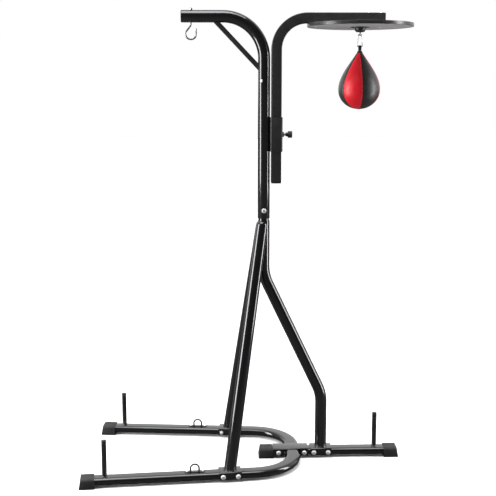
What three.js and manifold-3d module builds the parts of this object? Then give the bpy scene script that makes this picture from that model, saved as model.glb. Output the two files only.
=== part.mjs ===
// Dual-station boxing stand: heavy-bag arm on one side, speed bag platform on the other.
// Millimetres. X runs along the rear base tube, Y across the base, Z up, floor at Z = 0.
import * as THREE from "three";
import { mergeVertices } from "three/addons/utils/BufferGeometryUtils.js";
import Module from "manifold-3d";

// ---- Driving dimensions ---------------------------------------------------------------
const GAP = 0.3; // air between two touching pieces

// Base: flat-oval tube
const BASE_W = 70;
const BASE_H = 35;
const BASE_WALL = 2;
const SOLE = 11; // rubber under the tube
const U_OUT = 143; // post axis to the centre line of the U's closed side
const U_BEND_R = 205;
const U_HALF = 276; // half spread where the splayed ends leave the bends
const U_SPLAY = 5.3; // degrees, each end outwards
const U_END_X = -848; // post axis to the near open end
const U_FAR_SHORT = 26; // the far end stops this much sooner
const REAR_TUBE_END = 656;
const STUB_END = -10;

// Feet
const FOOT_L = 72;
const FOOT_WALL = 3.5;
const FOOT_ROUND = 13; // its long top edges
const FOOT_SLANT = 8;
const FOOT_TOE = 13; // rubber beyond the tube's end, at the floor

// Weight-plate pegs and pad eyes
const PEG_D = 23;
const PEG_L = 172;
const PEG_FLARE = 3; // weld at the foot
const PEG_FROM_END = 104; // tube end to peg axis, along X
const PEG_CAP_H = 9;
const PEG_CAP_WALL = 1.5;
const EYE_X = -331;
const EYE_WIRE_D = 8.5;
const EYE_R = 20; // loop's centre line
const EYE_RISE = 14; // straight legs below the loop
const EYE_STRAP_L = 95;
const EYE_STRAP_W = 20;
const EYE_STRAP_T = 3;
const EYE_SCREW_PITCH = 74;
const EYE_SCREW_D = 9;

// Legs and post: round tube
const LEG_D = 57;
const TUBE_WALL = 2;
const POST_D = 57;
const POST_BOTTOM = 1193;
const NECK_SHOWS = 12; // bare spigot between the post and the rear leg
const SPIGOT_SLIP = 1.5; // air between the spigot and the tubes over it
const SPIGOT_UP = 110; // spigot's length inside the post
const SPIGOT_DOWN = 90; // spigot's length inside the rear leg
const REAR_LEG_X = 285;
const REAR_KNEE_HIGH = 918;
const REAR_KNEE_LOW = 322;
const REAR_LEG_BEND_R = 200;
const FRONT_LEG_X = -167;
const FRONT_KNEE = [-22, 30]; // in plan, where a front leg bends to run up beside the rear leg
const FRONT_KNEE_DROP = 121; // below the rear leg's top
const FRONT_TOP = [-5, 6]; // in plan, where its centre line ends
const FRONT_LEG_BEND_R = 400;

// Saddles
const SADDLE_T = 4;
const SADDLE_L = 104;
const SADDLE_BOLT_PITCH = 70;
const SADDLE_DROP = 31; // side flanges below the tube's top
const CROSSING_TAB_INNER = 54;
const CROSSING_TAB_OUTER = 38;
const CROSSING_CLEAR = 5; // tab to U tube
const BOLT_D = 10;
const BOLT_HEAD_D = 23;
const BOLT_HEAD_H = 6;
const NUT_D = 19;
const NUT_H = 8;
const NUT_STICK = 3; // thread beyond a nut
const BORE_CLEAR = 0.5; // radial, bolt in hole

// Heavy-bag arm
const ARM_Z = 2130;
const ARM_END = -380;
const ARM_BEND_R = 190;
const BRACE_W = 22;
const BRACE_ARM_X = -245; // where the brace's line meets the arm's centre line
const BRACE_DROP = 257; // and how far below it the line meets the post's
const PLUG_T = 4;
const PLUG_IN = 14;
const HOOK_X = -338;
const HOOK_WIRE_D = 8;
const HOOK_R = 24;
const HOOK_SHOULDER = 14; // straight shank ends this far above the loop
const HOOK_CHEEK = 8;
const HOOK_BEND = 0.95; // of the loop's radius
const HOOK_DROP = 80; // arm's centre line to the loop's centre
const HOOK_NUT_D = 17;
const HOOK_NUT_H = 7;
const HOOK_STICK = 3;
const POST_SCREW_DROP = 294; // arm's centre line to the screw
const POST_SCREW_D = 14;
const POST_SCREW_TURN = -28; // degrees round the post from straight ahead
const NECK_BOLT_RISE = 38; // post's lower end to the bolt

// Sliding arm: square tube in a square socket
const SQ = 48;
const SQ_WALL = 2.5;
const SQ_CORNER = 4;
const SLIDE_CLEAR = 1;
const SLEEVE_WALL = 4;
const SLEEVE_BOTTOM = 1509;
const SLEEVE_H = 160; // the clamp is at half of it
const SQ_TAIL_Z = 1364;
const SQ_ARM_Z = 2123;
const SQ_PAST_BOARD = 110; // board's centre to the arm's tip
const SQ_BEND_R = 143;

// Clamp
const CLAMP_SCREW_D = 12;
const BOSS_D = 24;
const BOSS_H = 7;
const KNOB_D = 33;
const KNOB_H = 31;
const KNOB_LOBES = 8;
const KNOB_FLUTE = 1.1; // half the depth of a groove between two lobes
const KNOB_HUB_R = 9;
const KNOB_HUB_SHARE = 0.4; // of the knob's height
const KNOB_OPEN = 8; // boss face to knob when clamped
const CLAMP_PAD_T = 3;

// Board, swivel, bag
const BOARD_UNDER_BEND = 1.8; // the board's edge to the end of the arm's bend
const BOARD_D = 492;
const BOARD_T = 16;
const RIM_T = 3;
const BOARD_BOLT_IN = 40; // board's edge to the inner bolt
const SWIVEL_BOLT = 35; // board's centre to the bolt that also holds the swivel
const OUTER_BOLT = 90; // board's centre to the outer bolt
const BOARD_BOLT_D = 8;
const BOARD_NUT_D = 14;
const BOARD_NUT_H = 5;
const BOARD_BOLT_STICK = [2, 2, 8];
const FLANGE_D = 86;
const FLANGE_T = 3;
const DOME_D = 52;
const DOME_H = 20;
const DOME_WALL = 3;
const BALL_D = 18;
const STEM_D = 7;
const EYE_RING_R = 7.5;
const EYE_RING_WIRE = 5;
const EYE_RING_DROP = 8; // dome's mouth to the ring's centre
const LINK_WIRE = 4.5;
const LINK_HALF = 11.5; // half spread of the bail at its pins
const LINK_H = 50; // pivot on the eye down to the bail's pins
const LOOP_W = 14;
const LOOP_T = 12;
const LOOP_H = 24;
const PIN_CLEAR = 0.8;
const BAG_H = 270;
const BAG_R = 100;
const BAG_WIDEST = 0.665; // share of the height, from the top
const BAG_NECK_R = 9;
const COVER_T = 2.5;
const BLADDER_T = 2;
const VALVE_R = 4;

// ---- Places that follow from the sizes above ------------------------------------------
const SPIGOT_D = Math.min(POST_D, LEG_D) - 2 * TUBE_WALL - 2 * SPIGOT_SLIP;
const BASE_Z = SOLE + BASE_H / 2;
const BASE_TOP = SOLE + BASE_H;
const LEG_TOP = POST_BOTTOM - NECK_SHOWS;
const NECK_BOLT_Z = POST_BOTTOM + NECK_BOLT_RISE;
const HOOK_LOOP_Z = ARM_Z - HOOK_DROP;
const CLAMP_Z = SLEEVE_BOTTOM + SLEEVE_H / 2;
const sleeveIn = SQ / 2 + SLIDE_CLEAR;
const sleeveOut = sleeveIn + SLEEVE_WALL;
const ARM_X = POST_D / 2 + GAP + sleeveOut; // axis of the sliding tube
const BOARD_X = ARM_X + SQ_BEND_R - BOARD_UNDER_BEND + BOARD_D / 2;
const SQ_TIP_X = BOARD_X + SQ_PAST_BOARD;
const BOARD_BOLTS = [BOARD_BOLT_IN - BOARD_D / 2, SWIVEL_BOLT, OUTER_BOLT]; // from its centre

// ---- Solid helpers --------------------------------------------------------------------
const wasm = await Module();
wasm.setup();
const { Manifold, Mesh: SolidMesh } = wasm;

// A geometry's points and triangles as a solid that can be cut and joined.
function solid(geometry) {
  const bare = new THREE.BufferGeometry();
  const flat = geometry.index ? geometry.toNonIndexed() : geometry;
  bare.setAttribute("position", flat.getAttribute("position"));
  const merged = mergeVertices(bare, 1e-4);
  return new Manifold(
    new SolidMesh({
      numProp: 3,
      vertProperties: merged.attributes.position.array,
      triVerts: new Uint32Array(merged.index.array),
    }),
  );
}

function geometryOf(body) {
  const mesh = body.getMesh();
  const geometry = new THREE.BufferGeometry();
  geometry.setAttribute("position", new THREE.BufferAttribute(mesh.vertProperties, 3));
  geometry.setIndex(new THREE.BufferAttribute(mesh.triVerts, 1));
  geometry.computeVertexNormals();
  return geometry;
}

const cut = (geometry, ...tools) =>
  geometryOf(tools.reduce((body, tool) => body.subtract(solid(tool)), solid(geometry)));
const join = (...pieces) => geometryOf(pieces.map(solid).reduce((all, body) => all.add(body)));

// A round bar between two points.
function bar(radius, from, to, sides = 20) {
  const a = new THREE.Vector3(...from);
  const b = new THREE.Vector3(...to);
  const geometry = new THREE.CylinderGeometry(radius, radius, a.distanceTo(b), sides);
  const turn = new THREE.Quaternion().setFromUnitVectors(
    new THREE.Vector3(0, 1, 0),
    b.clone().sub(a).normalize(),
  );
  geometry.applyQuaternion(turn);
  return geometry.translate(...a.add(b).multiplyScalar(0.5).toArray());
}

// A box between two corners.
function block(low, high) {
  const size = high.map((v, i) => v - low[i]);
  return new THREE.BoxGeometry(...size).translate(...high.map((v, i) => (v + low[i]) / 2));
}

// A turned piece: radius and height pairs, turned about Z.
const turned = (profile, segments = 24) =>
  new THREE.LatheGeometry(
    profile.map(([r, z]) => new THREE.Vector2(r, z)),
    segments,
  ).rotateX(Math.PI / 2);

// A path with straight runs and round bends, sampled only where it turns.
class BentPath extends THREE.Curve {
  constructor(corners, radius, steps = 8) {
    super();
    const p = corners.map((c) => new THREE.Vector3(...c));
    this.stations = [];
    p.forEach((corner, i) => {
      const before = p[i - 1];
      const after = p[i + 1];
      if (!before || !after) {
        const along = before ? corner.clone().sub(before) : after.clone().sub(corner);
        this.stations.push({ point: corner, tangent: along.normalize() });
        return;
      }
      const inward = corner.clone().sub(before).normalize();
      const outward = after.clone().sub(corner).normalize();
      const angle = inward.angleTo(outward);
      const reach = radius * Math.tan(angle / 2);
      const axis = inward.clone().cross(outward).normalize();
      const start = corner.clone().addScaledVector(inward, -reach);
      const centre = start.clone().addScaledVector(axis.clone().cross(inward), radius);
      for (let k = 0; k <= steps; k += 1) {
        const turn = (angle * k) / steps;
        const point = start.clone().sub(centre).applyAxisAngle(axis, turn).add(centre);
        this.stations.push({ point, tangent: inward.clone().applyAxisAngle(axis, turn) });
      }
    });
  }
  get steps() {
    return this.stations.length - 1;
  }
  at(t, key) {
    const place = t * this.steps;
    const low = Math.min(Math.floor(place), this.steps - 1);
    return this.stations[low][key].clone().lerp(this.stations[low + 1][key], place - low);
  }
  getPoint(t) {
    return this.at(t, "point");
  }
  getPointAt(t) {
    return this.at(t, "point");
  }
  getTangent(t) {
    return this.at(t, "tangent").normalize();
  }
  getTangentAt(t) {
    return this.getTangent(t);
  }
}

const sweep = (shape, path) =>
  new THREE.ExtrudeGeometry(shape, { extrudePath: path, steps: path.steps, curveSegments: 6 });

// Sections
function ring(outer, inner, sides = 20) {
  const circle = (r) =>
    Array.from({ length: sides }, (_, i) => {
      const a = (2 * Math.PI * i) / sides;
      return new THREE.Vector2(r * Math.cos(a), r * Math.sin(a));
    });
  const shape = new THREE.Shape(circle(outer));
  if (inner) shape.holes.push(new THREE.Path(circle(inner).reverse()));
  return shape;
}

// A rounded rectangle's outline: w across, h high, corner radius r.
function roundedOutline(w, h, r, steps) {
  const corners = [
    [w / 2 - r, h / 2 - r, 0],
    [r - w / 2, h / 2 - r, 1],
    [r - w / 2, r - h / 2, 2],
    [w / 2 - r, r - h / 2, 3],
  ];
  const points = corners.flatMap(([x, y, quarter]) =>
    Array.from({ length: steps + 1 }, (_, i) => {
      const a = (Math.PI / 2) * (quarter + i / steps);
      return new THREE.Vector2(x + r * Math.cos(a), y + r * Math.sin(a));
    }),
  );
  return points.filter((p, i) => p.distanceTo(points[(i + 1) % points.length]) > 1e-6);
}

function roundedShape(w, h, r, steps, wall = 0) {
  const shape = new THREE.Shape(roundedOutline(w, h, r, steps));
  if (wall) {
    const hole = roundedOutline(w - 2 * wall, h - 2 * wall, Math.max(r - wall, 0.5), steps);
    shape.holes.push(new THREE.Path(hole.reverse()));
  }
  return shape;
}

// A plate or prism: a shape extruded up Z from z = low.
const prism = (shape, low, high) =>
  new THREE.ExtrudeGeometry(shape, { depth: high - low, bevelEnabled: false }).translate(0, 0, low);

// ---- Materials ------------------------------------------------------------------------
const paint = () => ({ color: 0x0b0b0c, roughness: 0.22, metalness: 0.3 });
const flatPaint = () => ({ color: 0x161618, roughness: 0.55, metalness: 0.2 });
const zinc = () => ({ color: 0xc9cbcd, roughness: 0.3, metalness: 1 });
const chrome = () => ({ color: 0xd8dadd, roughness: 0.12, metalness: 1 });
const rubber = () => ({ color: 0x202022, roughness: 0.75, metalness: 0 });
const plastic = () => ({ color: 0x111113, roughness: 0.45, metalness: 0 });
const board = () => ({ color: 0xd6d6d6, roughness: 0.5, metalness: 0 });
const redLeather = () => ({ color: 0xd71e2d, roughness: 0.45, metalness: 0 });
const blackLeather = () => ({ color: 0x1c1c1e, roughness: 0.5, metalness: 0 });

const stand = new THREE.Group();
stand.name = "boxing_stand";

function add(name, geometry, material, parent = stand) {
  const mesh = new THREE.Mesh(geometry, new THREE.MeshStandardMaterial(material));
  mesh.name = name;
  parent.add(mesh);
  return mesh;
}

// ---- Base -----------------------------------------------------------------------------
const splay = THREE.MathUtils.degToRad(U_SPLAY);
// Half spread of the U's centre line at x, on its straight ends.
const tangentX = U_OUT - U_BEND_R + U_BEND_R * Math.sin(splay);
const halfSpread = (x) => U_HALF + (tangentX - x) * Math.tan(splay);

// The sweep lays a section's first direction up and its second across.
const baseSection = () => roundedShape(BASE_H, BASE_W, BASE_H / 2 - 0.01, 3, BASE_WALL);
const farEnd = U_END_X + U_FAR_SHORT;
const SIDES = [
  ["near", -1, U_END_X],
  ["far", 1, farEnd],
];

const uPath = new BentPath(
  [
    [U_END_X, -halfSpread(U_END_X), BASE_Z],
    [U_OUT, -halfSpread(U_OUT), BASE_Z],
    [U_OUT, halfSpread(U_OUT), BASE_Z],
    [farEnd, halfSpread(farEnd), BASE_Z],
  ],
  U_BEND_R,
  7,
);
const straight = (from, to) => new BentPath([from, to], 0);
const boltHole = (x, y0, y1, d = BOLT_D) =>
  bar(d / 2 + BORE_CLEAR, [x, y0, BASE_Z], [x, y1, BASE_Z], 10);

// Places along a splayed end: x on its centre line, then along and across in plan.
function onSide(x, sign) {
  const group = new THREE.Group();
  group.position.set(x, sign * halfSpread(x), 0);
  group.rotation.z = -sign * splay;
  return group;
}

function placed(geometry, group) {
  group.updateMatrix();
  return geometry.clone().applyMatrix4(group.matrix);
}

const sidePlaces = SIDES.map(([side, sign, end]) => ({
  side,
  sign,
  leg: onSide(FRONT_LEG_X, sign),
  eye: onSide(EYE_X, sign),
  peg: onSide(end + PEG_FROM_END, sign),
  foot: onSide(end, sign),
}));
const acrossHole = (x) => boltHole(x, -BASE_W, BASE_W);
const saddleHoles = [-SADDLE_BOLT_PITCH / 2, SADDLE_BOLT_PITCH / 2];

add(
  "base_u_tube",
  cut(
    sweep(baseSection(), uPath),
    ...sidePlaces.flatMap(({ leg }) => saddleHoles.map((x) => placed(acrossHole(x), leg))),
  ),
  paint(),
);

const uInner = U_OUT - BASE_W / 2;
const uOuter = U_OUT + BASE_W / 2;
const stubInner = uInner - GAP - 1;
const rearStart = uOuter + GAP + 1;
const crossingLow = uInner - CROSSING_CLEAR - CROSSING_TAB_INNER;
const crossingHigh = uOuter + CROSSING_CLEAR + CROSSING_TAB_OUTER;
const crossingBolts = [
  ["inner", uInner - CROSSING_CLEAR - CROSSING_TAB_INNER / 2],
  ["outer", uOuter + CROSSING_CLEAR + CROSSING_TAB_OUTER / 2],
];
add(
  "rear_stub_tube",
  cut(
    sweep(baseSection(), straight([STUB_END, 0, BASE_Z], [stubInner, 0, BASE_Z])),
    acrossHole(crossingBolts[0][1]),
  ),
  paint(),
);
add(
  "rear_base_tube",
  cut(
    sweep(baseSection(), straight([rearStart, 0, BASE_Z], [REAR_TUBE_END, 0, BASE_Z])),
    acrossHole(crossingBolts[1][1]),
    ...saddleHoles.map((x) => acrossHole(REAR_LEG_X + x)),
  ),
  paint(),
);

// Inverted channel over a base tube, from x = low to x = high, with holes for cross bolts.
const SADDLE_IN = BASE_W / 2 + GAP; // inside of a flange
const SADDLE_OUT = SADDLE_IN + SADDLE_T;
const SADDLE_Z = BASE_TOP + GAP; // underside of the top plate
const SADDLE_TOP = SADDLE_Z + SADDLE_T;
function channel(low, high, holes) {
  const flangeLow = BASE_TOP - SADDLE_DROP;
  const shape = new THREE.Shape(
    [
      [-SADDLE_OUT, flangeLow],
      [-SADDLE_IN, flangeLow],
      [-SADDLE_IN, SADDLE_Z],
      [SADDLE_IN, SADDLE_Z],
      [SADDLE_IN, flangeLow],
      [SADDLE_OUT, flangeLow],
      [SADDLE_OUT, SADDLE_TOP - SADDLE_T],
      [SADDLE_OUT - SADDLE_T, SADDLE_TOP],
      [SADDLE_T - SADDLE_OUT, SADDLE_TOP],
      [-SADDLE_OUT, SADDLE_TOP - SADDLE_T],
    ].map(([y, z]) => new THREE.Vector2(y, z)),
  );
  const profile = new THREE.ExtrudeGeometry(shape, { depth: high - low, bevelEnabled: false });
  // Section's first direction to Y, second to Z, length to X.
  profile.rotateX(Math.PI / 2).rotateZ(Math.PI / 2).translate(low, 0, 0);
  return cut(profile, ...holes.map(acrossHole));
}

const crossing = channel(
  crossingLow,
  crossingHigh,
  crossingBolts.map(([, x]) => x),
);
add(
  "crossing_saddle",
  cut(
    crossing,
    block(
      [uInner - CROSSING_CLEAR, -SADDLE_OUT - 1, 0],
      [uOuter + CROSSING_CLEAR, SADDLE_OUT + 1, SADDLE_Z],
    ),
  ),
  paint(),
);

// A cross bolt with its nut, along Y, at x on a tube's centre line.
function crossBolt(x, z, half, d, headD, headH, nutD, nutH, stick) {
  const near = -half - GAP;
  const far = half + GAP;
  return join(
    bar(d / 2, [x, near - headH / 2, z], [x, far + nutH + stick, z], 8),
    bar(headD / 2, [x, near - headH, z], [x, near, z], 12),
    bar(nutD / 2, [x, far, z], [x, far + nutH, z], 6),
  );
}
const saddleBolt = (x) =>
  crossBolt(x, BASE_Z, SADDLE_OUT, BOLT_D, BOLT_HEAD_D, BOLT_HEAD_H, NUT_D, NUT_H, NUT_STICK);
crossingBolts.forEach(([side, x]) => add("crossing_bolt_" + side, saddleBolt(x), zinc()));

// Saddles under the legs
const halfSaddle = SADDLE_L / 2;
const rearHoles = saddleHoles.map((x) => REAR_LEG_X + x);
add(
  "leg_saddle_rear",
  channel(REAR_LEG_X - halfSaddle, REAR_LEG_X + halfSaddle, rearHoles),
  paint(),
);
rearHoles.forEach((x, i) => add("saddle_bolt_rear_" + (i + 1), saddleBolt(x), zinc()));
sidePlaces.forEach(({ side, sign, leg }) => {
  stand.add(leg);
  add("leg_saddle_" + side, channel(-halfSaddle, halfSaddle, saddleHoles), paint(), leg);
  saddleHoles.forEach((x, i) => {
    const bolt = saddleBolt(x);
    // Both heads look outwards, away from the middle of the base.
    if (sign > 0) bolt.rotateZ(Math.PI).translate(2 * x, 0, 0);
    add("saddle_bolt_" + side + "_" + (i + 1), bolt, zinc(), leg);
  });
});

// Rubber boot over a tube's end. The tube runs in from +X; its end is at x = 0.
function boot() {
  const w = BASE_W / 2 + GAP + FOOT_WALL;
  const top = BASE_TOP + GAP + FOOT_WALL;
  const inX = FOOT_L - FOOT_TOE;
  const side = new THREE.Shape(
    [
      [-FOOT_TOE, 0],
      [inX, 0],
      [inX - 2, top],
      [FOOT_SLANT - FOOT_TOE, top],
    ].map(([x, z]) => new THREE.Vector2(x, z)),
  );
  const body = new THREE.ExtrudeGeometry(side, { depth: 2 * w, bevelEnabled: false });
  body.rotateX(Math.PI / 2).translate(0, w, 0);
  // Round the two long top edges to follow the tube.
  const round = new THREE.Shape(
    roundedOutline(2 * w, 2 * top, FOOT_ROUND, 5),
  );
  const roll = new THREE.ExtrudeGeometry(round, { depth: 2 * FOOT_L, bevelEnabled: false });
  roll.rotateX(Math.PI / 2).rotateZ(Math.PI / 2).translate(-FOOT_L, 0, 0);
  const pocketShape = roundedShape(BASE_W + 2 * GAP, BASE_H + 2 * GAP, BASE_H / 2, 5);
  const pocket = new THREE.ExtrudeGeometry(pocketShape, { depth: FOOT_L, bevelEnabled: false });
  pocket.rotateX(Math.PI / 2).rotateZ(Math.PI / 2).translate(-GAP, 0, BASE_Z);
  return geometryOf(solid(body).intersect(solid(roll)).subtract(solid(pocket)));
}

sidePlaces.forEach(({ side, foot }) => {
  stand.add(foot);
  add("foot_" + side, boot(), rubber(), foot);
});
const footIn = add("foot_rear_in", boot(), rubber());
footIn.position.x = STUB_END;
const footOut = add("foot_rear_out", boot(), rubber());
footOut.position.x = REAR_TUBE_END;
footOut.rotation.z = Math.PI;

// Peg with its cap, standing on the base tube at the local origin.
function addPeg(side, place) {
  const foot = BASE_TOP + GAP;
  const capR = PEG_D / 2;
  const neckR = capR - PEG_CAP_WALL - GAP;
  const capLow = foot + PEG_L - PEG_CAP_H;
  stand.add(place);
  const pin = turned(
    [
      [0, foot],
      [PEG_D / 2 + PEG_FLARE, foot],
      [PEG_D / 2, foot + PEG_FLARE],
      [PEG_D / 2, capLow - GAP],
      [neckR, capLow - GAP],
      [neckR, foot + PEG_L],
      [0, foot + PEG_L],
    ],
    16,
  );
  add("peg_" + side, pin, paint(), place);
  const capTop = foot + PEG_L + GAP + PEG_CAP_WALL;
  const cap = turned(
    [
      [0, foot + PEG_L + GAP],
      [neckR + GAP, foot + PEG_L + GAP],
      [neckR + GAP, capLow],
      [capR, capLow],
      [capR, capTop - 1],
      [capR - 1, capTop],
      [0, capTop],
    ],
    14,
  );
  add("peg_cap_" + side, cap, plastic(), place);
}
sidePlaces.forEach(({ side, peg }) => addPeg(side, peg));
const rearPeg = new THREE.Group();
rearPeg.position.x = REAR_TUBE_END - PEG_FROM_END;
addPeg("rear", rearPeg);

// Pad eye: a wire arch on a strap, with two screws, over the tube's top.
const strapLow = BASE_TOP + GAP;
const strapTop = strapLow + EYE_STRAP_T;
function padEye() {
  const strap = prism(
    roundedShape(EYE_STRAP_L, EYE_STRAP_W, EYE_STRAP_W / 2 - 0.01, 4),
    strapLow,
    strapTop,
  );
  const wireR = EYE_WIRE_D / 2;
  const arch = sweep(
    ring(wireR, 0, 10),
    new BentPath(
      [
        [-EYE_R, 0, strapTop - wireR / 2],
        [-EYE_R, 0, strapTop + EYE_RISE + EYE_R],
        [EYE_R, 0, strapTop + EYE_RISE + EYE_R],
        [EYE_R, 0, strapTop - wireR / 2],
      ],
      EYE_R - 0.01,
      5,
    ),
  );
  return join(strap, arch);
}
function screwHead() {
  const low = strapTop + GAP;
  return turned([
    [0, low],
    [EYE_SCREW_D / 2, low],
    [EYE_SCREW_D / 2 - 0.6, low + 1.8],
    [EYE_SCREW_D / 4, low + 3],
    [0, low + 3.2],
  ], 12);
}
sidePlaces.forEach(({ side, eye }) => {
  stand.add(eye);
  add("pad_eye_" + side, padEye(), paint(), eye);
  [-1, 1].forEach((end, i) => {
    const screw = add("pad_eye_screw_" + side + "_" + (i + 1), screwHead(), zinc(), eye);
    screw.position.x = (end * EYE_SCREW_PITCH) / 2;
  });
});

// ---- Legs and neck --------------------------------------------------------------------
const LEG_FOOT = SADDLE_TOP + GAP;
const legR = LEG_D / 2;
const rearLegPath = (top) =>
  new BentPath(
    [
      [0, 0, top],
      [0, 0, REAR_KNEE_HIGH],
      [REAR_LEG_X, 0, REAR_KNEE_LOW],
      [REAR_LEG_X, 0, LEG_FOOT],
    ],
    REAR_LEG_BEND_R,
    4,
  );
add("rear_leg", sweep(ring(legR, legR - TUBE_WALL), rearLegPath(LEG_TOP)), paint());

// The front legs start flat on their saddles and are coped to the rear leg at the top.
const COPE = sweep(ring(legR + GAP), rearLegPath(POST_BOTTOM));
const BELOW_SADDLE = 0.05; // share of its length that a leg runs on before it is trimmed
function frontLegPath(sign) {
  const foot = new THREE.Vector3(FRONT_LEG_X, sign * halfSpread(FRONT_LEG_X), LEG_FOOT);
  const knee = new THREE.Vector3(FRONT_KNEE[0], sign * FRONT_KNEE[1], LEG_TOP - FRONT_KNEE_DROP);
  const top = new THREE.Vector3(FRONT_TOP[0], sign * FRONT_TOP[1], LEG_TOP);
  const below = foot.clone().lerp(knee, -BELOW_SADDLE);
  return new BentPath([below, knee, top].map((p) => p.toArray()), FRONT_LEG_BEND_R, 4);
}
sidePlaces.forEach(({ side, sign }) => {
  const raw = sweep(ring(legR, legR - TUBE_WALL), frontLegPath(sign));
  const reach = LEG_D * 4;
  const otherHalf = sign < 0 ? [-GAP / 2, reach] : [-reach, GAP / 2];
  add(
    "front_leg_" + side,
    cut(
      raw,
      COPE,
      block([-reach, otherHalf[0], REAR_KNEE_HIGH - reach], [reach, otherHalf[1], LEG_TOP + reach]),
      block([-3 * reach, -3 * reach, -reach], [3 * reach, 3 * reach, LEG_FOOT]),
    ),
    paint(),
  );
});

const spigotR = SPIGOT_D / 2;
const neckHole = bar(
  BOLT_D / 2 + BORE_CLEAR,
  [0, -POST_D, NECK_BOLT_Z],
  [0, POST_D, NECK_BOLT_Z],
  16,
);
add(
  "neck_spigot",
  cut(
    turned(
      [
        [spigotR - TUBE_WALL, LEG_TOP - SPIGOT_DOWN],
        [spigotR, LEG_TOP - SPIGOT_DOWN],
        [spigotR, POST_BOTTOM + SPIGOT_UP],
        [spigotR - TUBE_WALL, POST_BOTTOM + SPIGOT_UP],
        [spigotR - TUBE_WALL, LEG_TOP - SPIGOT_DOWN],
      ],
      24,
    ),
    neckHole,
  ),
  paint(),
);

// ---- Post and heavy-bag arm -----------------------------------------------------------
const postR = POST_D / 2;
const hookHole = bar(
  HOOK_WIRE_D / 2 + BORE_CLEAR,
  [HOOK_X, 0, ARM_Z - POST_D],
  [HOOK_X, 0, ARM_Z + POST_D],
  16,
);
const postPath = new BentPath(
  [
    [0, 0, POST_BOTTOM],
    [0, 0, ARM_Z],
    [ARM_END, 0, ARM_Z],
  ],
  ARM_BEND_R,
  8,
);
add(
  "main_post",
  cut(sweep(ring(postR, postR - TUBE_WALL), postPath), neckHole, hookHole),
  paint(),
);
add(
  "neck_bolt",
  crossBolt(0, NECK_BOLT_Z, postR, BOLT_D, BOLT_HEAD_D, BOLT_HEAD_H, NUT_D, NUT_H, NUT_STICK),
  zinc(),
);

// Brace from the arm's underside down to the post, its ends cut to both tubes.
const brace = sweep(
  roundedShape(BRACE_W, BRACE_W, 2, 1),
  straight([BRACE_ARM_X, 0, ARM_Z], [0, 0, ARM_Z - BRACE_DROP]),
);
add("arm_brace", cut(brace, sweep(ring(postR + GAP), postPath)), paint());

// Plug in an open tube end: a flat head and a shank. Made looking along -X, end at x = 0.
function plug(headShape, shankShape) {
  const head = prism(headShape, GAP, GAP + PLUG_T);
  const shank = prism(shankShape, -PLUG_IN, GAP + 1);
  return join(head, shank);
}
const armPlug = plug(ring(postR - 1, 0), ring(postR - TUBE_WALL - GAP, 0, 20));
armPlug.rotateY(-Math.PI / 2).translate(ARM_END, 0, ARM_Z);
add("arm_end_plug", armPlug, plastic());

// Hook: threaded shank up through the arm, open loop below.
const armTop = ARM_Z + postR;
const loopTop = HOOK_LOOP_Z + HOOK_R;
const hookPath = new BentPath(
  [
    [HOOK_X, 0, armTop + GAP + HOOK_NUT_H + HOOK_STICK],
    [HOOK_X, 0, loopTop + HOOK_SHOULDER],
    [HOOK_X - HOOK_R, 0, HOOK_LOOP_Z + HOOK_CHEEK],
    [HOOK_X - HOOK_R, 0, HOOK_LOOP_Z - HOOK_R],
    [HOOK_X + HOOK_R, 0, HOOK_LOOP_Z - HOOK_R],
    [HOOK_X + HOOK_R, 0, HOOK_LOOP_Z + HOOK_R],
  ],
  HOOK_R * HOOK_BEND,
  4,
);
add("heavy_bag_hook", sweep(ring(HOOK_WIRE_D / 2, 0, 12), hookPath), zinc());
const hookNut = turned(
  [
    [HOOK_WIRE_D / 2 + GAP, armTop + GAP],
    [HOOK_NUT_D / 2, armTop + GAP],
    [HOOK_NUT_D / 2, armTop + GAP + HOOK_NUT_H],
    [HOOK_WIRE_D / 2 + GAP, armTop + GAP + HOOK_NUT_H],
    [HOOK_WIRE_D / 2 + GAP, armTop + GAP],
  ],
  12,
).translate(HOOK_X, 0, 0);
add("hook_nut", hookNut, zinc());

// ---- Height sleeve and clamp ----------------------------------------------------------
const sleeveTop = SLEEVE_BOTTOM + SLEEVE_H;
const sleeveFace = ARM_X + sleeveOut;
const bossFace = sleeveFace + BOSS_H;
const sleeve = prism(
  roundedShape(2 * sleeveOut, 2 * sleeveOut, SQ_CORNER + SLEEVE_WALL, 3, SLEEVE_WALL),
  SLEEVE_BOTTOM,
  sleeveTop,
).translate(ARM_X, 0, 0);
add(
  "height_sleeve",
  cut(
    join(sleeve, bar(BOSS_D / 2, [sleeveFace - 1, 0, CLAMP_Z], [bossFace, 0, CLAMP_Z], 20)),
    bar(
      CLAMP_SCREW_D / 2 + GAP,
      [ARM_X, 0, CLAMP_Z],
      [bossFace + 1, 0, CLAMP_Z],
      16,
    ),
  ),
  flatPaint(),
);

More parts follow.
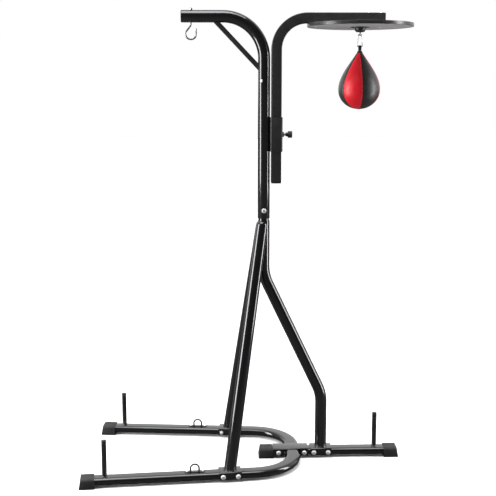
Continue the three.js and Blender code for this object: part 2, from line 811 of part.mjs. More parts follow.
// Pad, screw and knob on the clamp's axis
const padLow = ARM_X + SQ / 2 + GAP;
const knobLow = bossFace + KNOB_OPEN;
const padTop = padLow + 0.6 * SLIDE_CLEAR;
add(
  "clamp_pad",
  bar(CLAMP_SCREW_D / 2 - 1, [padLow, 0, CLAMP_Z], [padTop + CLAMP_PAD_T, 0, CLAMP_Z], 16),
  plastic(),
);
const screwLow = padTop + CLAMP_PAD_T + GAP;
const socketLow = knobLow + KNOB_H * 0.2;
add(
  "clamp_screw",
  bar(CLAMP_SCREW_D / 2, [screwLow, 0, CLAMP_Z], [socketLow + KNOB_H * 0.5, 0, CLAMP_Z], 16),
  zinc(),
);
function knob() {
  const grip = new THREE.Shape(
    Array.from({ length: KNOB_LOBES * 4 }, (_, i) => {
      const a = (Math.PI * 2 * i) / (KNOB_LOBES * 4);
      const r = KNOB_D / 2 - KNOB_FLUTE * (1 - Math.cos(KNOB_LOBES * a));
      return new THREE.Vector2(r * Math.cos(a), r * Math.sin(a));
    }),
  );
  const head = prism(grip, KNOB_H * 0.35, KNOB_H);
  const hub = turned(
    [
      [0, 0],
      [KNOB_HUB_R, 0],
      [KNOB_HUB_R + 1.2, KNOB_H * KNOB_HUB_SHARE],
      [0, KNOB_H * KNOB_HUB_SHARE],
    ],
    16,
  );
  const hole = bar(CLAMP_SCREW_D / 2 + GAP, [0, 0, -1], [0, 0, KNOB_H * 0.7 + GAP], 16);
  return cut(join(head, hub), hole).rotateY(Math.PI / 2).translate(knobLow, 0, CLAMP_Z);
}
add("clamp_knob", knob(), plastic());

// ---- Sliding arm ----------------------------------------------------------------------
const boardTop = SQ_ARM_Z - SQ / 2 - GAP;
const boardLow = boardTop - BOARD_T;
const boardHole = (dx) =>
  bar(
    BOARD_BOLT_D / 2 + BORE_CLEAR,
    [BOARD_X + dx, 0, boardLow - BOARD_T],
    [BOARD_X + dx, 0, SQ_ARM_Z + SQ],
    12,
  );
const boardHoles = BOARD_BOLTS.map(boardHole);
const squareSection = () => roundedShape(SQ, SQ, SQ_CORNER, 2, SQ_WALL);
add(
  "speed_bag_arm",
  cut(
    sweep(
      squareSection(),
      new BentPath(
        [
          [ARM_X, 0, SQ_TAIL_Z],
          [ARM_X, 0, SQ_ARM_Z],
          [SQ_TIP_X, 0, SQ_ARM_Z],
        ],
        SQ_BEND_R,
        7,
      ),
    ),
    ...boardHoles,
  ),
  flatPaint(),
);
const squarePlug = () =>
  plug(
    roundedShape(SQ - 2, SQ - 2, SQ_CORNER, 2),
    roundedShape(SQ - 2 * SQ_WALL - 2 * GAP, SQ - 2 * SQ_WALL - 2 * GAP, 2, 2),
  );
add(
  "arm_tip_plug",
  squarePlug().rotateY(Math.PI / 2).translate(SQ_TIP_X, 0, SQ_ARM_Z),
  plastic(),
);
add(
  "arm_tail_plug",
  squarePlug().rotateX(Math.PI).translate(ARM_X, 0, SQ_TAIL_Z),
  plastic(),
);

// Board, its rim, and three bolts up through the arm
const boardR = BOARD_D / 2;
const core = turned(
  [
    [0, boardLow],
    [boardR - RIM_T - GAP, boardLow],
    [boardR - RIM_T - GAP, boardTop],
    [0, boardTop],
  ],
  48,
).translate(BOARD_X, 0, 0);
add("rebound_board", cut(core, ...boardHoles), board());
add(
  "board_rim",
  turned(
    [
      [boardR - RIM_T, boardLow],
      [boardR - 1, boardLow],
      [boardR, boardLow + 1],
      [boardR, boardTop - 1],
      [boardR - 1, boardTop],
      [boardR - RIM_T, boardTop],
      [boardR - RIM_T, boardLow],
    ],
    48,
  ).translate(BOARD_X, 0, 0),
  plastic(),
);
const flangeTop = boardLow - GAP;
const flangeLow = flangeTop - FLANGE_T;
BOARD_BOLTS.forEach((dx, i) => {
  const x = BOARD_X + dx;
  const top = SQ_ARM_Z + SQ / 2 + GAP;
  const head = (i === 1 ? flangeLow : boardLow) - GAP;
  const dome = turned(
    [
      [0, head - 3],
      [BOARD_NUT_D / 4, head - 2.6],
      [BOARD_NUT_D / 2, head - 1],
      [BOARD_NUT_D / 2, head],
      [0, head],
    ],
    14,
  ).translate(x, 0, 0);
  add(
    "board_bolt_" + ["inner", "middle", "outer"][i],
    join(
      dome,
      bar(BOARD_BOLT_D / 2, [x, 0, head - 1], [x, 0, top + BOARD_NUT_H + BOARD_BOLT_STICK[i]], 12),
      bar(BOARD_NUT_D / 2, [x, 0, top], [x, 0, top + BOARD_NUT_H], 6),
    ),
    zinc(),
  );
});

// ---- Swivel ---------------------------------------------------------------------------
const domeLow = flangeLow - DOME_H;
const ballZ = domeLow + DOME_WALL + BALL_D / 2 + 1;
const throat = BALL_D / 2 - 2;
const domeR = DOME_D / 2;
const housing = turned(
  [
    [throat, domeLow],
    [domeR * 0.62, domeLow],
    [domeR * 0.88, domeLow + DOME_H * 0.28],
    [domeR, domeLow + DOME_H * 0.7],
    [domeR, flangeLow],
    [FLANGE_D / 2, flangeLow],
    [FLANGE_D / 2, flangeTop],
    [domeR - DOME_WALL, flangeTop],
    [domeR - DOME_WALL, domeLow + DOME_H * 0.75],
    [BALL_D / 2 + 1, domeLow + DOME_WALL + 4],
    [throat, domeLow + DOME_WALL],
    [throat, domeLow],
  ],
  24,
).translate(BOARD_X, 0, 0);
add("swivel_housing", cut(housing, boardHoles[1]), plastic());
// Ball, shank and eye. The eye's ring stands across the bail, in the YZ plane.
const ringR = EYE_RING_R;
const ringWire = EYE_RING_WIRE / 2;
const ringZ = domeLow - EYE_RING_DROP;
const pivotZ = ringZ - ringR;
const eyeRing = new THREE.TorusGeometry(ringR, ringWire, 8, 14);
eyeRing.rotateY(Math.PI / 2).translate(BOARD_X, 0, ringZ);
const ball = new THREE.SphereGeometry(BALL_D / 2, 14, 8);
ball.translate(BOARD_X, 0, ballZ);
add(
  "swivel_stem",
  join(
    ball,
    bar(STEM_D / 2, [BOARD_X, 0, ringZ + ringR], [BOARD_X, 0, ballZ], 14),
    eyeRing,
  ),
  chrome(),
);

// ---- Bail, loop and bag ---------------------------------------------------------------
const linkWire = LINK_WIRE / 2;
const apexR = ringWire + linkWire + GAP;
const pinZ = pivotZ - LINK_H;
const bail = new BentPath(
  [
    [BOARD_X - 1.2, 0, pinZ],
    [BOARD_X - LINK_HALF, 0, pinZ],
    [BOARD_X - apexR * 1.3, 0, pivotZ + apexR],
    [BOARD_X + apexR * 1.3, 0, pivotZ + apexR],
    [BOARD_X + LINK_HALF, 0, pinZ],
    [BOARD_X + 1.2, 0, pinZ],
  ],
  linkWire + 1,
  4,
);
add("bag_link", sweep(ring(linkWire, 0, 10), bail), chrome());

// Leather loop: a folded tab with a cross hole for the bail's pins, in the bag's neck below.
const loopTopZ = pinZ + LOOP_T / 2;
const loopLow = loopTopZ - LOOP_H;
const tab = new THREE.Shape(roundedOutline(LOOP_T, LOOP_H, LOOP_T / 2 - 0.01, 5));
const loopBody = new THREE.ExtrudeGeometry(tab, { depth: LOOP_W, bevelEnabled: false });
loopBody.rotateX(Math.PI / 2).rotateZ(Math.PI / 2);
loopBody.translate(BOARD_X - LOOP_W / 2, 0, (loopTopZ + loopLow) / 2);
add(
  "bag_loop",
  cut(
    loopBody,
    bar(linkWire + PIN_CLEAR, [BOARD_X - LOOP_W, 0, pinZ], [BOARD_X + LOOP_W, 0, pinZ], 12),
  ),
  blackLeather(),
);

// Teardrop: a cone-like shoulder that turns into a round bottom.
const bagTop = loopLow - GAP;
const bagRadius = (share) => {
  if (share > BAG_WIDEST) {
    const s = (share - BAG_WIDEST) / (1 - BAG_WIDEST);
    return BAG_R * Math.sqrt(Math.max(0, 1 - s * s));
  }
  const s = share / BAG_WIDEST;
  return BAG_NECK_R + (BAG_R - BAG_NECK_R) * Math.sin((Math.PI / 2) * Math.pow(s, 1.12));
};
function bagProfile(inset, valve, rings) {
  const shares = Array.from({ length: rings + 1 }, (_, i) => (i / rings) ** 0.9);
  const scaleZ = (BAG_H - 2 * inset) / BAG_H;
  const points = shares.map((share) => [
    Math.max(bagRadius(share) - inset, 0),
    bagTop - inset - share * BAG_H * scaleZ,
  ]);
  return points.filter(([r], i) => i < rings / 2 || r > valve).concat([[valve, bagTop - BAG_H + inset]]);
}
function bagShell(outer, inner, rings, segments) {
  const out = bagProfile(outer, VALVE_R, rings);
  const inside = bagProfile(inner, VALVE_R, rings).reverse();
  return turned(
    [[0, out[0][1]], ...out, ...inside, [0, inside[inside.length - 1][1]]].reverse(),
    segments,
  ).translate(BOARD_X, 0, 0);
}
add("bag_cover", bagShell(0, COVER_T, 13, 20), redLeather());
add("bag_bladder", bagShell(COVER_T + GAP, COVER_T + GAP + BLADDER_T, 13, 20), rubber());

// A round head on the post, above the sleeve
const postScrew = turned(
  [
    [0, 0],
    [POST_SCREW_D / 2, 0],
    [POST_SCREW_D / 2, 1.5],
    [POST_SCREW_D / 4, 3],
    [0, 3.2],
  ],
  12,
);
postScrew.rotateX(Math.PI / 2);
const screwTurn = new THREE.Group();
screwTurn.rotation.z = THREE.MathUtils.degToRad(POST_SCREW_TURN);
const screwAt = new THREE.Group();
screwAt.position.set(0, -(postR + GAP), ARM_Z - POST_SCREW_DROP);
screwTurn.add(screwAt);
stand.add(screwTurn);
add("post_screw", postScrew, zinc(), screwAt);

// Centre the footprint on the origin.
const footprint = new THREE.Box3().setFromObject(stand, true);
stand.position.x = -(footprint.min.x + footprint.max.x) / 2;

export default stand;
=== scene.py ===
# %% [markdown]
# # A two-station boxing stand
# One upright on a wide tubular base carries a hook for a heavy bag on one side and, on the
# other, a sliding arm with a round board, a swivel and a small leather speed bag. The CAD model
# gives every size and every moving body. Here each of its nodes gets the rounder, finer shape
# and the finish that the real stand has.

# %% Load the frame
import math

import bpy
from mathutils import Matrix, Vector


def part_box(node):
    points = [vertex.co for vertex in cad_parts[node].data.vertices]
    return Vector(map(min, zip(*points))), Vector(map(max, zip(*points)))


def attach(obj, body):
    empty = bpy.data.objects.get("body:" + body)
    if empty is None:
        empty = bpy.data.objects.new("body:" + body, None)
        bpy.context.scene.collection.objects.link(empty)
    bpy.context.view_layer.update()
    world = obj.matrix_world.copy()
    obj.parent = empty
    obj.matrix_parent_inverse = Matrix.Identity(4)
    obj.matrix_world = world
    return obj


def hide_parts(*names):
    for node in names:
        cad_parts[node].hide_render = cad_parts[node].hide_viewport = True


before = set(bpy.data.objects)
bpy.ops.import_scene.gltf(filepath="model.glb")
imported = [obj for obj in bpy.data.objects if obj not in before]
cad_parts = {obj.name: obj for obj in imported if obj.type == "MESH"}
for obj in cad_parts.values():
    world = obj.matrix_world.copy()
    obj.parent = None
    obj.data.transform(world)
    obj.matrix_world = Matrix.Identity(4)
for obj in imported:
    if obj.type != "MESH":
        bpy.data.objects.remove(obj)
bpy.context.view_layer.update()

# %% [markdown]
# ## Places
# Sizes are easier to read in millimetres from the post's axis on the floor, and Blender works in
# metres. One small function turns the first into the second. The post's axis and the heights of
# the main parts come from the boxes of their CAD nodes.

# %% Places
MM = 0.001


def middle(node):
    low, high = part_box(node)
    return (low + high) / 2


post_axis = middle("neck_spigot")


def at(x, y, z):
    """A point given in millimetres from the post's axis, on the floor."""
    return Vector((post_axis.x + x * MM, post_axis.y + y * MM, z * MM))


ARM_Z = middle("arm_end_plug").z / MM
SLIDE_X = (middle("arm_tail_plug").x - post_axis.x) / MM
SQUARE_Z = middle("arm_tip_plug").z / MM
BOARD_X = (middle("rebound_board").x - post_axis.x) / MM
print("arm at", round(ARM_Z), "mm, sliding tube", round(SLIDE_X, 1), "mm from the post's axis")

# %% [markdown]
# ## Camera
# A long lens from the long side, a little above the middle, as for a catalogue picture. It looks
# slightly down, so the verticals keep a faint taper.

# %% Camera
scene = bpy.context.scene
eye = bpy.data.cameras.new("catalogue_eye")
eye.lens = 68.95
eye.sensor_width = 36
camera = bpy.data.objects.new("catalogue_camera", eye)
scene.collection.objects.link(camera)
camera.location = (-0.1208, -4.4878, 1.8028)
camera.rotation_euler = (math.pi / 2 - 0.1665, 0, -0.0296)
scene.camera = camera

# %% [markdown]
# ## Studio
# Gloss black paint is drawn by what it mirrors. Two tall soft boxes at the sides give the long
# bright strips down each tube, one overhead lights the tops, and a broad skylight whitens the
# floor. The surround is white behind the stand and dim in front of it, which keeps the middle of
# the tubes black and their edges clear.

# %% Studio
scene.view_settings.view_transform = "Standard"
scene.view_settings.look = "None"


def soft_box(name, place, aim, width, height, power):
    lamp = bpy.data.lights.new(name, "AREA")
    lamp.shape = "RECTANGLE"
    lamp.size = width
    lamp.size_y = height
    lamp.energy = power
    holder = bpy.data.objects.new(name, lamp)
    scene.collection.objects.link(holder)
    holder.location = place
    holder.rotation_euler = (Vector(aim) - Vector(place)).to_track_quat("-Z", "Y").to_euler()


soft_box("left_soft_box", (-3.25, -1.05, 1.6), (0, 0, 1.3), 1.3, 3.4, 230)
soft_box("right_soft_box", (3.4, -0.48, 1.6), (0, 0, 1.3), 0.8, 3.4, 150)
soft_box("top_soft_box", (0.0, -0.6, 4.8), (0, 0, 0.4), 3.0, 1.4, 90)

skylight = bpy.data.lights.new("skylight", "SUN")
skylight.energy = 2.4
skylight.angle = math.radians(50)
skylight_holder = bpy.data.objects.new("skylight", skylight)
scene.collection.objects.link(skylight_holder)
skylight_holder.rotation_euler = (0.2, -0.2, 0)

studio = bpy.data.worlds.new("studio")
scene.world = studio
studio.use_nodes = True
sky = studio.node_tree
sky.nodes.clear()
surround = sky.nodes.new("ShaderNodeBackground")
surround.inputs["Color"].default_value = (1, 1, 1, 1)
facing_in = sky.nodes.new("ShaderNodeTexCoord")
parts = sky.nodes.new("ShaderNodeSeparateXYZ")
fall = sky.nodes.new("ShaderNodeMapRange")
fall.inputs["From Min"].default_value = -0.15
fall.inputs["From Max"].default_value = 0.45
fall.inputs["To Min"].default_value = 0.035
fall.inputs["To Max"].default_value = 1.25
sky.links.new(facing_in.outputs["Generated"], parts.inputs["Vector"])
sky.links.new(parts.outputs["Y"], fall.inputs["Value"])
sky.links.new(fall.outputs["Result"], surround.inputs["Strength"])
backdrop = sky.nodes.new("ShaderNodeBackground")
backdrop.inputs["Color"].default_value = (1, 1, 1, 1)
backdrop.inputs["Strength"].default_value = 1.0
seen = sky.nodes.new("ShaderNodeLightPath")
choose = sky.nodes.new("ShaderNodeMixShader")
sky_out = sky.nodes.new("ShaderNodeOutputWorld")
sky.links.new(seen.outputs["Is Camera Ray"], choose.inputs["Fac"])
sky.links.new(surround.outputs[0], choose.inputs[1])
sky.links.new(backdrop.outputs[0], choose.inputs[2])
sky.links.new(choose.outputs[0], sky_out.inputs["Surface"])

# %% [markdown]
# ## Finishes
# Each finish is one Principled shader with a few nodes on Object coordinates, so its pattern sits
# still on the piece in any pose: a fine bump for the surface's texture, and a slow cloudy change
# of roughness or colour, because no real coat is quite even.

# %% Finishes
# Noise scales are cells a metre, so a scale of 1000 is one cell a millimetre.


def paint_box(name, colour, rough, metal=0.0, **sockets):
    """A material with a Principled shader, and a way to add nodes to it."""
    finish = bpy.data.materials.new(name)
    finish.use_nodes = True
    tree = finish.node_tree
    shader = tree.nodes["Principled BSDF"]
    shader.inputs["Base Color"].default_value = (*colour, 1)
    shader.inputs["Roughness"].default_value = rough
    shader.inputs["Metallic"].default_value = metal
    for socket, value in sockets.items():
        shader.inputs[socket.replace("_", " ")].default_value = value
    finish.diffuse_color = (*colour, 1)
    return finish, tree, shader


def add_node(tree, kind, **settings):
    """A node, with its plain settings and its input values given by name."""
    made = tree.nodes.new("ShaderNode" + kind)
    for key, value in settings.items():
        if hasattr(made, key):
            setattr(made, key, value)
        else:
            made.inputs[key.replace("_", " ")].default_value = value
    return made


def object_point(tree):
    return add_node(tree, "TexCoord").outputs["Object"]


def grain(tree, scale, detail=2.0, where=None):
    noise = add_node(tree, "TexNoise", Scale=scale, Detail=detail)
    tree.links.new(where or object_point(tree), noise.inputs["Vector"])
    return noise.outputs["Fac"]


def between(tree, amount, low, high, start=0.3, end=0.7):
    """Maps a pattern's start..end to low..high."""
    span = add_node(tree, "MapRange", From_Min=start, From_Max=end, To_Min=low, To_Max=high)
    tree.links.new(amount, span.inputs["Value"])
    return span.outputs["Result"]


def two_tone(tree, amount, first, second):
    blend = add_node(tree, "Mix", data_type="RGBA")
    tree.links.new(amount, blend.inputs["Factor"])
    blend.inputs[6].default_value = (*first, 1)
    blend.inputs[7].default_value = (*second, 1)
    return blend.outputs[2]


def bump(tree, shader, height, depth, strength=1.0):
    bumps = add_node(tree, "Bump", Distance=depth, Strength=strength)
    tree.links.new(height, bumps.inputs["Height"])
    tree.links.new(bumps.outputs["Normal"], shader.inputs["Normal"])
    return bumps


def coated(name, colour, dusty, rough, peel, peel_depth, coat, metal=0.0):
    """Powder coat: cloudy colour, cloudy roughness and the faint orange peel of sprayed paint."""
    finish, tree, shader = paint_box(
        name, colour, rough[0], metal, Coat_Weight=coat, Coat_Roughness=0.06, Specular_IOR_Level=0.4
    )
    clouds = grain(tree, 9, 3)
    tree.links.new(two_tone(tree, clouds, colour, dusty), shader.inputs["Base Color"])
    tree.links.new(between(tree, grain(tree, 35, 4), *rough), shader.inputs["Roughness"])
    bump(tree, shader, grain(tree, peel, 1), peel_depth)
    return finish


gloss_black = coated(
    "gloss_black_paint", (0.0045, 0.0045, 0.005), (0.008, 0.008, 0.009), (0.12, 0.19), 420, 0.00002, 0.3
)
matt_black = coated(
    "matt_black_paint", (0.009, 0.009, 0.0095), (0.015, 0.015, 0.016), (0.4, 0.52), 900, 0.00005, 0.0
)


def bare_metal(name, colour, rough, brushed, depth, metal):
    """Plated steel: fine scratches along one axis and a cloudy polish."""
    finish, tree, shader = paint_box(name, colour, rough[0], metal)
    stretch = add_node(tree, "Mapping", Scale=(1.0, 1.0, 0.15))
    tree.links.new(object_point(tree), stretch.inputs["Vector"])
    scratches = grain(tree, brushed, 5, stretch.outputs["Vector"])
    tree.links.new(between(tree, scratches, *rough), shader.inputs["Roughness"])
    dull = tuple(c * 0.82 for c in colour)
    tree.links.new(two_tone(tree, grain(tree, 160, 3), dull, colour), shader.inputs["Base Color"])
    bump(tree, shader, scratches, depth)
    return finish


zinc = bare_metal("zinc_steel", (0.86, 0.87, 0.88), (0.3, 0.48), 1400, 0.00003, 0.55)
wire_steel = bare_metal("wire_steel", (0.26, 0.26, 0.27), (0.22, 0.36), 1400, 0.00003, 0.9)
chrome = bare_metal("chrome", (0.34, 0.34, 0.35), (0.08, 0.16), 700, 0.000004, 1.0)


def moulded(name, colour, dusty, rough, pebble, depth):
    """Moulded rubber or plastic: a fine pebbled skin and a dusty bloom."""
    finish, tree, shader = paint_box(name, colour, rough[0], 0.0, Specular_IOR_Level=0.4)
    cells = add_node(tree, "TexVoronoi", feature="SMOOTH_F1", Scale=pebble, Smoothness=0.6)
    tree.links.new(object_point(tree), cells.inputs["Vector"])
    bloom = grain(tree, 45, 5)
    tree.links.new(two_tone(tree, bloom, colour, dusty), shader.inputs["Base Color"])
    tree.links.new(between(tree, bloom, *rough), shader.inputs["Roughness"])
    bump(tree, shader, cells.outputs["Distance"], depth)
    return finish


rubber = moulded("black_rubber", (0.009, 0.009, 0.0095), (0.02, 0.02, 0.021), (0.62, 0.8), 1100, 0.00015)
plastic = moulded("black_plastic", (0.008, 0.008, 0.009), (0.014, 0.014, 0.015), (0.34, 0.46), 1600, 0.00006)
print("finishes so far:", len(bpy.data.materials))

# %% [markdown]
# The board's two faces have a thin pale laminate with a barely visible fleck. Its edge has a
# plastic trim pressed into the core.

# %% Board finishes
laminate, tree, shader = paint_box("board_face", (0.42, 0.42, 0.43), 0.5, 0.0)
fleck = grain(tree, 700, 2)
tree.links.new(
    two_tone(tree, between(tree, fleck, 0, 1, 0.35, 0.65), (0.39, 0.39, 0.40), (0.45, 0.45, 0.46)),
    shader.inputs["Base Color"],
)
tree.links.new(between(tree, grain(tree, 60, 4), 0.42, 0.56), shader.inputs["Roughness"])
bump(tree, shader, fleck, 0.00004)
trim = moulded("board_edge", (0.02, 0.02, 0.021), (0.03, 0.03, 0.031), (0.26, 0.36), 2000, 0.00003)

# %% [markdown]
# ## Hands
# A few moves come up again and again: clear the selection, edit everything, apply a modifier,
# and settle a finished piece. Settling puts its place into its mesh, smooths it between sharp
# edges, gives it its finish, hangs it on the body it rides on and hides the CAD nodes it stands for.

# %% Hands


def only(*pieces):
    if bpy.context.mode != "OBJECT":
        bpy.ops.object.mode_set(mode="OBJECT")
    bpy.ops.object.select_all(action="DESELECT")
    for piece in pieces:
        piece.select_set(True)
        bpy.context.view_layer.objects.active = piece


def edit(piece, pick="SELECT"):
    only(piece)
    bpy.ops.object.mode_set(mode="EDIT")
    bpy.ops.mesh.select_mode(type="VERT")
    bpy.ops.mesh.select_all(action=pick)


def edges_where(piece, test):
    """Selects the edges whose two ends pass the test, and goes into edit mode."""
    edit(piece, "DESELECT")
    bpy.ops.mesh.select_mode(type="EDGE")
    bpy.ops.object.mode_set(mode="OBJECT")
    for edge in piece.data.edges:
        a, b = (piece.data.vertices[v].co / MM for v in edge.vertices)
        edge.select = test(a, b)
    bpy.ops.object.mode_set(mode="EDIT")


def faces_where(piece, test):
    """Selects the faces whose normal passes the test, and goes into edit mode."""
    edit(piece, "DESELECT")
    bpy.ops.mesh.select_mode(type="FACE")
    bpy.ops.object.mode_set(mode="OBJECT")
    for face in piece.data.polygons:
        face.select = test(face.normal)
    bpy.ops.object.mode_set(mode="EDIT")


def named(name):
    """Names the primitive that was just added."""
    piece = bpy.context.object
    piece.name = piece.data.name = name
    return piece


def shaped(piece, kind, **settings):
    """Adds a modifier and applies it."""
    if bpy.context.mode != "OBJECT":
        bpy.ops.object.mode_set(mode="OBJECT")
    modifier = piece.modifiers.new(kind.title(), kind)
    for key, value in settings.items():
        setattr(modifier, key, value)
    only(piece)
    bpy.ops.object.modifier_apply(modifier=modifier.name)
    return piece


def soften(piece, width, segments=2, limit=40):
    return shaped(
        piece, "BEVEL", width=width * MM, segments=segments, limit_method="ANGLE",
        angle_limit=math.radians(limit), use_clamp_overlap=True,
    )


def set_place(piece):
    only(piece)
    bpy.ops.object.transform_apply(location=True, rotation=True, scale=True)
    return piece


def moved(piece, turn=(0, 0, 0), shift=(0, 0, 0)):
    """Turns a piece about the origin, then shifts it, and applies both."""
    set_place(piece)
    piece.rotation_euler = turn
    piece.location = shift
    return set_place(piece)


def copied(piece, name, turn=(0, 0, 0), shift=(0, 0, 0)):
    """A copy with its own mesh, turned and shifted from the one modelled at the origin."""
    double = piece.copy()
    double.data = piece.data.copy()
    double.name = double.data.name = name
    scene.collection.objects.link(double)
    return moved(double, turn, shift)


def tidy_skin(piece, merge=0.00001):
    edit(piece)
    bpy.ops.mesh.remove_doubles(threshold=merge)
    bpy.ops.mesh.normals_make_consistent(inside=False)
    bpy.ops.object.mode_set(mode="OBJECT")
    return piece


def carve(piece, *cutters, mode="DIFFERENCE"):
    for cutter in cutters:
        shaped(piece, "BOOLEAN", operation=mode, solver="EXACT", object=cutter)
        bpy.data.objects.remove(cutter)
    return piece


def joined(first, *others):
    only(*others, first)
    bpy.ops.object.join()
    return first


def settle(piece, finish, body="frame", nodes=(), angle=32):
    set_place(piece)
    bpy.ops.object.shade_smooth_by_angle(angle=math.radians(angle))
    piece.data.materials.clear()
    piece.data.materials.append(finish)
    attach(piece, body)
    if nodes:
        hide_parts(*([nodes] if isinstance(nodes, str) else nodes))
    return piece


# %% [markdown]
# ## Bent tube
# A tube bender takes a straight tube and winds it round a die. Curves could make the same path,
# but spin does exactly what the bender does: the open outline is drawn out along each straight
# run, then spun round the bend's centre. Spin turns the left-handed way here, so its axis is
# reversed.

# %% Bent tube


def draw_out(corners, bend=0.0, steps=16):
    """Draws the selected outline from the first corner to the last, with round bends."""
    here = corners[0]
    for i in range(1, len(corners)):
        run = (corners[i] - corners[i - 1]).normalized()
        if i == len(corners) - 1:
            extrude_by(corners[i] - here)
            return
        onward = (corners[i + 1] - corners[i]).normalized()
        angle = run.angle(onward)
        reach = bend * math.tan(angle / 2)
        begin = corners[i] - run * reach
        extrude_by(begin - here)
        axis = run.cross(onward).normalized()
        bpy.ops.mesh.spin(
            steps=steps, angle=angle, center=begin + axis.cross(run) * bend, axis=-axis
        )
        here = corners[i] + onward * reach


def extrude_by(step):
    if step.length > 1e-6:
        bpy.ops.mesh.extrude_edges_move(TRANSFORM_OT_translate={"value": step})


def facing(direction):
    return direction.to_track_quat("Z", "Y").to_euler()


def round_tube(name, corners, across, bend=0.0, steps=16, sides=48, wall=0.0):
    """A round tube; without a wall it is solid, with both ends filled."""
    bpy.ops.object.select_all(action="DESELECT")
    bpy.ops.mesh.primitive_circle_add(
        vertices=sides, radius=across / 2 * MM, location=corners[0],
        rotation=facing(corners[1] - corners[0]),
    )
    return swept(named(name), corners, bend, steps, wall)


def swept(tube, corners, bend, steps, wall):
    set_place(tube)
    edit(tube)
    draw_out(corners, bend * MM, steps)
    tidy_skin(tube)
    if wall:
        return shaped(tube, "SOLIDIFY", thickness=wall * MM, offset=-1, use_even_offset=True)
    edit(tube)
    bpy.ops.mesh.select_all(action="DESELECT")
    bpy.ops.mesh.select_non_manifold()
    bpy.ops.mesh.edge_face_add()
    return tidy_skin(tube)


def shaped_tube(name, corners, wide, high, corner, bend=0.0, steps=16, curve=6, wall=0.0):
    """A tube with a rounded-rectangle section, wide across and high up."""
    bpy.ops.object.select_all(action="DESELECT")
    bpy.ops.mesh.primitive_plane_add(size=1)
    tube = named(name)
    tube.scale = (wide * MM, high * MM, 1)
    set_place(tube)
    edit(tube)
    bpy.ops.mesh.bevel(offset=corner * MM, segments=curve, affect="VERTICES")
    bpy.ops.mesh.select_all(action="SELECT")
    bpy.ops.mesh.delete(type="ONLY_FACE")
    moved(tube, facing(corners[1] - corners[0]), corners[0])
    return swept(tube, corners, bend, steps, wall)


# %% [markdown]
# ## Base
# The base is flat-oval tube: a wide U that opens to one side, and a straight tube behind it that
# passes under the U's closed side. The U's ends splay a little, so its straight runs need their
# half spread at any x.

# %% Base
BASE_WIDE, BASE_HIGH, BASE_WALL = 70, 35, 2
SOLE = 11
BASE_MID = SOLE + BASE_HIGH / 2
BASE_TOP = SOLE + BASE_HIGH
U_CLOSED, U_BEND, U_HALF = 143, 205, 276
U_OPEN = {"near": -848, "far": -822}
SPLAY = math.radians(5.3)
STUB_END, REAR_END = -10, 656


def half_spread(x):
    leaves = U_CLOSED - U_BEND + U_BEND * math.sin(SPLAY)
    return U_HALF + (leaves - x) * math.tan(SPLAY)


u_corners = [
    at(x, side * half_spread(x), BASE_MID)
    for x, side in ((U_OPEN["near"], -1), (U_CLOSED, -1), (U_CLOSED, 1), (U_OPEN["far"], 1))
]
OVAL = {"wide": BASE_WIDE, "high": BASE_HIGH, "corner": BASE_HIGH / 2 - 0.1, "wall": BASE_WALL}
base_u = shaped_tube("base_u", u_corners, bend=U_BEND, steps=24, curve=10, **OVAL)
settle(base_u, gloss_black, nodes="base_u_tube")
inner_edge = U_CLOSED - BASE_WIDE / 2
outer_edge = U_CLOSED + BASE_WIDE / 2
straight_runs = (
    ("base_stub", "rear_stub_tube", STUB_END, inner_edge - 1.3),
    ("base_rear", "rear_base_tube", outer_edge + 1.3, REAR_END),
)
for name, node, start, end in straight_runs:
    run = shaped_tube(name, [at(start, 0, BASE_MID), at(end, 0, BASE_MID)], curve=10, **OVAL)
    settle(run, gloss_black, nodes=node)
print("base tube faces:", len(base_u.data.polygons))

# %% [markdown]
# ## Saddles
# Folded steel channels sit over the base tubes, bolted through their sides, and the legs are
# welded on top. A box without its bottom and ends is the fold; a bevel on its two long edges is
# the bend radius, and Solidify gives the sheet its thickness.

# %% Saddles
SHEET = 4
SADDLE_HALF = BASE_WIDE / 2 + 0.3 + SHEET
SADDLE_TOP = BASE_TOP + 0.3 + SHEET
FLANGE_LOW = BASE_TOP - 31


def saddle(name, low, high):
    """A channel from x = low to x = high, over the X axis."""
    bpy.ops.object.select_all(action="DESELECT")
    bpy.ops.mesh.primitive_cube_add(size=1, location=Vector(
        ((low + high) / 2, 0, (SADDLE_TOP + FLANGE_LOW) / 2)) * MM)
    sheet = named(name)
    sheet.scale = Vector((high - low, 2 * SADDLE_HALF, SADDLE_TOP - FLANGE_LOW)) * MM
    set_place(sheet)
    faces_where(sheet, lambda normal: normal.z < -0.9 or abs(normal.x) > 0.9)
    bpy.ops.mesh.delete(type="FACE")
    bpy.ops.object.mode_set(mode="OBJECT")
    edges_where(sheet, lambda a, b: min(a.z, b.z) > SADDLE_TOP - 0.01 and abs(a.x - b.x) > 0.1)
    bpy.ops.mesh.bevel(offset=7 * MM, segments=6, affect="EDGES")
    bpy.ops.object.mode_set(mode="OBJECT")
    shaped(sheet, "SOLIDIFY", thickness=SHEET * MM, offset=-1, use_even_offset=True)
    return soften(sheet, 0.7, 2, 60)


REAR_LEG_X, FRONT_LEG_X = 285, -167
SADDLE_LONG = 104
ground = at(0, 0, 0)
pattern = saddle("saddle_pattern", -SADDLE_LONG / 2, SADDLE_LONG / 2)
side_turn = {"near": SPLAY, "far": -SPLAY}
sides = (("near", -1), ("far", 1))
saddle_places = {"rear": (0, at(REAR_LEG_X, 0, 0))}
for side, sign in sides:
    saddle_places[side] = (side_turn[side], at(FRONT_LEG_X, sign * half_spread(FRONT_LEG_X), 0))
for side, (turn, place) in saddle_places.items():
    piece = copied(pattern, "saddle_" + side, (0, 0, turn), place)
    settle(piece, gloss_black, nodes="leg_saddle_" + side)
bpy.data.objects.remove(pattern)

